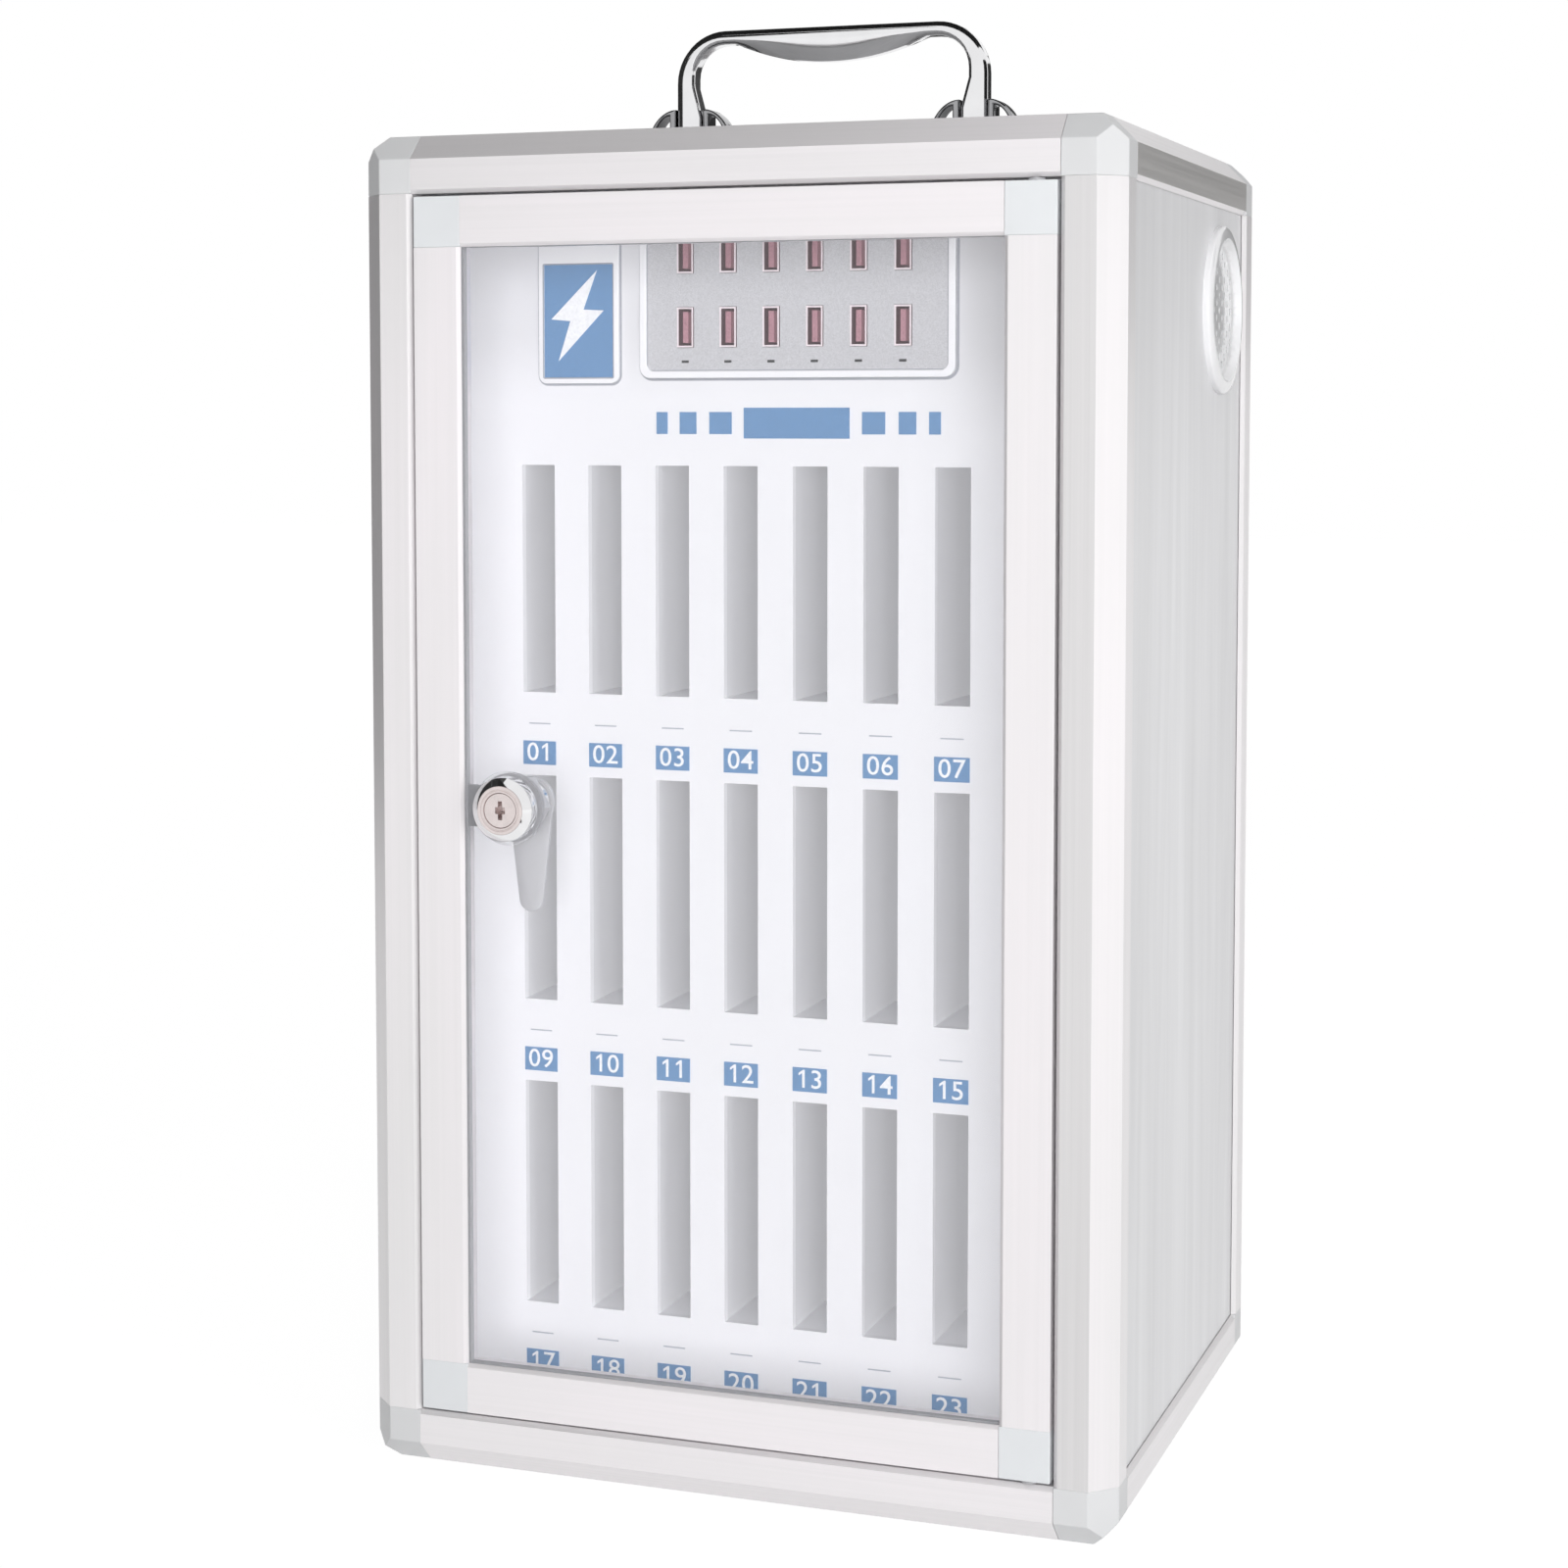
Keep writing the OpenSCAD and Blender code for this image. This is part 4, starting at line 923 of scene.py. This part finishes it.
def numerals():
    """The pocket numbers, as thin raised ink on the labels."""
    digits = {char: digit(char) for char in "0123456789"}
    bm = bmesh.new()
    for r, c, x in rows_and_columns():
        for char, side in zip(f"{r * COLUMNS + c + 1:02d}", (-0.5, 0.5)):
            shift = Vector((x + side * DIGIT_PITCH, LABEL_Y - INK / 2, SLOT_FLOORS[r] - LABEL_DROP))
            mesh = digits[char].copy()
            mesh.transform(Matrix.Translation(shift))
            bm.from_mesh(mesh)
            bpy.data.meshes.remove(mesh)
    for mesh in digits.values():
        bpy.data.meshes.remove(mesh)
    bmesh.ops.recalc_face_normals(bm, faces=bm.faces)
    mesh = bpy.data.meshes.new("pocket_numbers")
    bm.to_mesh(mesh)
    bm.free()
    add("pocket_numbers", mesh, body_of["slot_labels"], white_ink)


numerals()

FIELD_X, FIELD_Y, FIELD_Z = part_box("sign_field")[0]
BOLT_T = 0.00025
BOLT = [(20.5, 38.0), (2.8, 20.8), (10.2, 20.1), (5.6, 5.9), (23.1, 23.8), (15.3, 24.2)]
bolt_points = [(FIELD_X + x * MM, FIELD_Z + z * MM) for x, z in reversed(BOLT)]
join([plate(bolt_points, FIELD_Y - BOLT_T, FIELD_Y + SUNK)], "sign_bolt",
     body_of["sign_field"], white_ink)


# ---- floor, camera and light ----

FLOOR_R, FLOOR_Z = 8.0, -0.0003
FLOOR_GLOW, FLOOR_GLOW_SHARE = 1.22, 0.76


def sheet(name, w, h, z=0.0):
    """A flat mesh round the Z axis."""
    mesh = bpy.data.meshes.new(name)
    mesh.from_pydata([(x, y, z) for x, y in oblong(0, 0, w, h)], [], [(0, 1, 2, 3)])
    return mesh


def pale_floor():
    """A pale floor, which glows to near white where it is seen straight, in gloss or through the pane."""
    mesh = sheet("floor", 2 * FLOOR_R, 2 * FLOOR_R, FLOOR_Z)
    obj = place("floor", mesh)
    s = Shade("floor", (0.8, 0.8, 0.8), 0.7)
    s.colour(s.mix(s.noise(3, 2.0), (0.8, 0.8, 0.8), (0.82, 0.82, 0.82)))
    glow = s.node("ShaderNodeEmission")
    glow.inputs["Color"].default_value = (1, 1, 1, 1)
    glow.inputs["Strength"].default_value = FLOOR_GLOW
    part = s.node("ShaderNodeMixShader")
    part.inputs[0].default_value = FLOOR_GLOW_SHARE
    s.put(s.p.outputs[0], part.inputs[1])
    s.put(glow.outputs[0], part.inputs[2])
    path = s.node("ShaderNodeLightPath")
    seen = s.math("MAXIMUM", path.outputs["Is Camera Ray"], s.math(
        "MAXIMUM", path.outputs["Is Glossy Ray"], path.outputs["Is Transmission Ray"]))
    seen = s.math("MULTIPLY", seen, s.math("LESS_THAN", path.outputs["Diffuse Depth"], 0.5))
    both = s.node("ShaderNodeMixShader")
    s.put(seen, both.inputs[0])
    s.put(s.p.outputs[0], both.inputs[1])
    s.put(part.outputs[0], both.inputs[2])
    s.put(both.outputs[0], s.t.nodes["Material Output"].inputs["Surface"])
    mesh.materials.append(s.m)


def sky(low, high):
    """White behind everything, and light from all round that is weaker from above."""
    world = bpy.data.worlds.new("studio")
    bpy.context.scene.world = world
    world.use_nodes = True
    t = world.node_tree
    t.nodes.clear()

    def node(kind, **values):
        n = t.nodes.new(kind)
        for key, value in values.items():
            setattr(n, key, value)
        return n

    path = node("ShaderNodeLightPath")
    seen = path.outputs["Is Camera Ray"]
    for other in ("Is Glossy Ray", "Is Transmission Ray"):
        either = node("ShaderNodeMath", operation="MAXIMUM")
        t.links.new(seen, either.inputs[0])
        t.links.new(path.outputs[other], either.inputs[1])
        seen = either.outputs[0]
    straight = node("ShaderNodeMath", operation="LESS_THAN")
    straight.inputs[1].default_value = 0.5
    t.links.new(path.outputs["Diffuse Depth"], straight.inputs[0])
    both = node("ShaderNodeMath", operation="MULTIPLY")
    t.links.new(seen, both.inputs[0])
    t.links.new(straight.outputs[0], both.inputs[1])
    seen = both.outputs[0]
    parts = node("ShaderNodeSeparateXYZ")
    t.links.new(node("ShaderNodeTexCoord").outputs["Generated"], parts.inputs[0])
    level = node("ShaderNodeMapRange")
    for key, v in zip(("From Min", "From Max", "To Min", "To Max"), (0.0, 0.9, low, high)):
        level.inputs[key].default_value = v
    t.links.new(parts.outputs["Z"], level.inputs["Value"])
    light = node("ShaderNodeBackground")
    t.links.new(level.outputs[0], light.inputs["Strength"])
    white = node("ShaderNodeBackground")
    for b in (light, white):
        b.inputs["Color"].default_value = (1, 1, 1, 1)
    mix = node("ShaderNodeMixShader")
    t.links.new(seen, mix.inputs[0])
    t.links.new(light.outputs[0], mix.inputs[1])
    t.links.new(white.outputs[0], mix.inputs[2])
    t.links.new(mix.outputs[0], node("ShaderNodeOutputWorld").inputs[0])


MIDDLE = (0, 0, 0.25)    # what the lamps face


def softbox(name, at, size, watts):
    """A rectangular lamp that faces the cabinet and shows only by its light."""
    lamp = bpy.data.lights.new(name, "AREA")
    lamp.shape = "RECTANGLE"
    lamp.size, lamp.size_y = size
    lamp.energy = watts
    obj = place(name, lamp)
    aim(obj, at, MIDDLE)
    obj.visible_camera = False
    obj.visible_glossy = False
    obj.visible_transmission = False
    return obj


def flag(name, at, towards, size, shade):
    """A dark card that only the gloss sees."""
    mesh = sheet(name, *size)
    obj = place(name, mesh)
    aim(obj, at, towards)
    s = Shade(name, (shade, shade, shade), 0.9)
    s.colour(s.mix(s.noise(4, 2.0), (shade * 0.9,) * 3, (shade * 1.1,) * 3))
    mesh.materials.append(s.m)
    obj.visible_camera = False
    obj.visible_diffuse = False
    obj.visible_shadow = False
    obj.visible_transmission = False


pale_floor()
sky(0.42, 0.24)
softbox("key", (2.45, -1.3, 0.55), (1.3, 1.3), 23)
softbox("front", (0.85, -2.6, 0.5), (1.5, 1.3), 42)
# One lamp lights only what lies behind the pane, as it came out darker than in the photo without it.
BEHIND_PANE = ("slot_", "header_", "rack_", "legend_", "usb_", "port_")
INSIDE = [obj for name, obj in nodes.items() if name.startswith(BEHIND_PANE)]
INSIDE += [nodes[name] for name in (
    "sign_field", "cam_screw", "charger_case", "lock_backing_plate", "lock_nut", "pane_gasket")]
INSIDE += [bpy.data.objects[name] for name in (
    "charger_faceplate_dressed", "sign_bezel_dressed", "write_on_lines", "pocket_numbers", "sign_bolt",
    "cam_arm", "sign_seams", "charger_seams")]
fill = softbox("inside_fill", (1.9, -1.9, 0.4), (0.8, 0.8), 40)
for purpose, members in (("receiver", INSIDE), ("blocker", [nodes["hinge_pins"]])):
    group = bpy.data.collections.new("inside_fill_" + purpose)
    for member in members:
        group.objects.link(member)
    setattr(fill.light_linking, purpose + "_collection", group)
# The chrome of the handle and the lock reflects these as its dark lines.
flag("flag_left", (-1.6, 0.2, 0.6), (0, 0, 0.3), (2.2, 1.8), 0.03)
flag("flag_top", (-1.1, 0.2, 1.9), (-0.7, 0, 0.3), (2.4, 1.6), 0.1)
flag("card_left", (-0.32, 0.065, 0.56), (-0.06, 0.065, 0.56), (1.07, 0.15), 0.02)
flag("card_right", (0.36, 0.07, 0.56), (0.06, 0.07, 0.56), (0.44, 0.15), 0.02)
flag("card_top", (-0.01, 0.033, 0.545), (-0.01, 0.033, 0.5), (0.22, 0.136), 0.02)
flag("card_behind", (0.0245, 0.16, 0.51), (0.0245, 0, 0.51), (0.115, 0.07), 0.08)
flag("card_lock", (-0.4, -0.42, 0.82), (-0.08, -0.12, 0.237), (0.52, 0.3), 0.02)
flag("card_low", (0.129, -0.35, 0.02), (-0.07, -0.12, 0.237), (0.07, 0.07), 0.02)
flag("flag_back", (-0.5, 2.6, 0.75), (-0.5, 0, 0.6), (3.2, 0.6), 0.04)

# The first fit to the photo had a shift of -0.198 and lay closer to it. It was refitted at this smaller
# shift, so that the handle stays in the frame in the other views.
CAMERA_AT = (0.35177, -1.04321, 0.37271)
LENS, SHIFT_Y = 68.033, -0.11
DOWN, ROUND = 3.7679, 19.5563               # degrees below level, and to the left of the Y axis

camera = bpy.data.cameras.new("camera")
camera.sensor_width = 36.0
camera.lens = LENS
camera.shift_y = SHIFT_Y
camera.clip_start, camera.clip_end = 0.01, 30
cam = place("camera", camera)
cam.location = CAMERA_AT
cam.rotation_euler = (math.radians(90 - DOWN), 0, math.radians(ROUND))
bpy.context.scene.camera = cam
bpy.context.scene.view_settings.view_transform = "Standard"
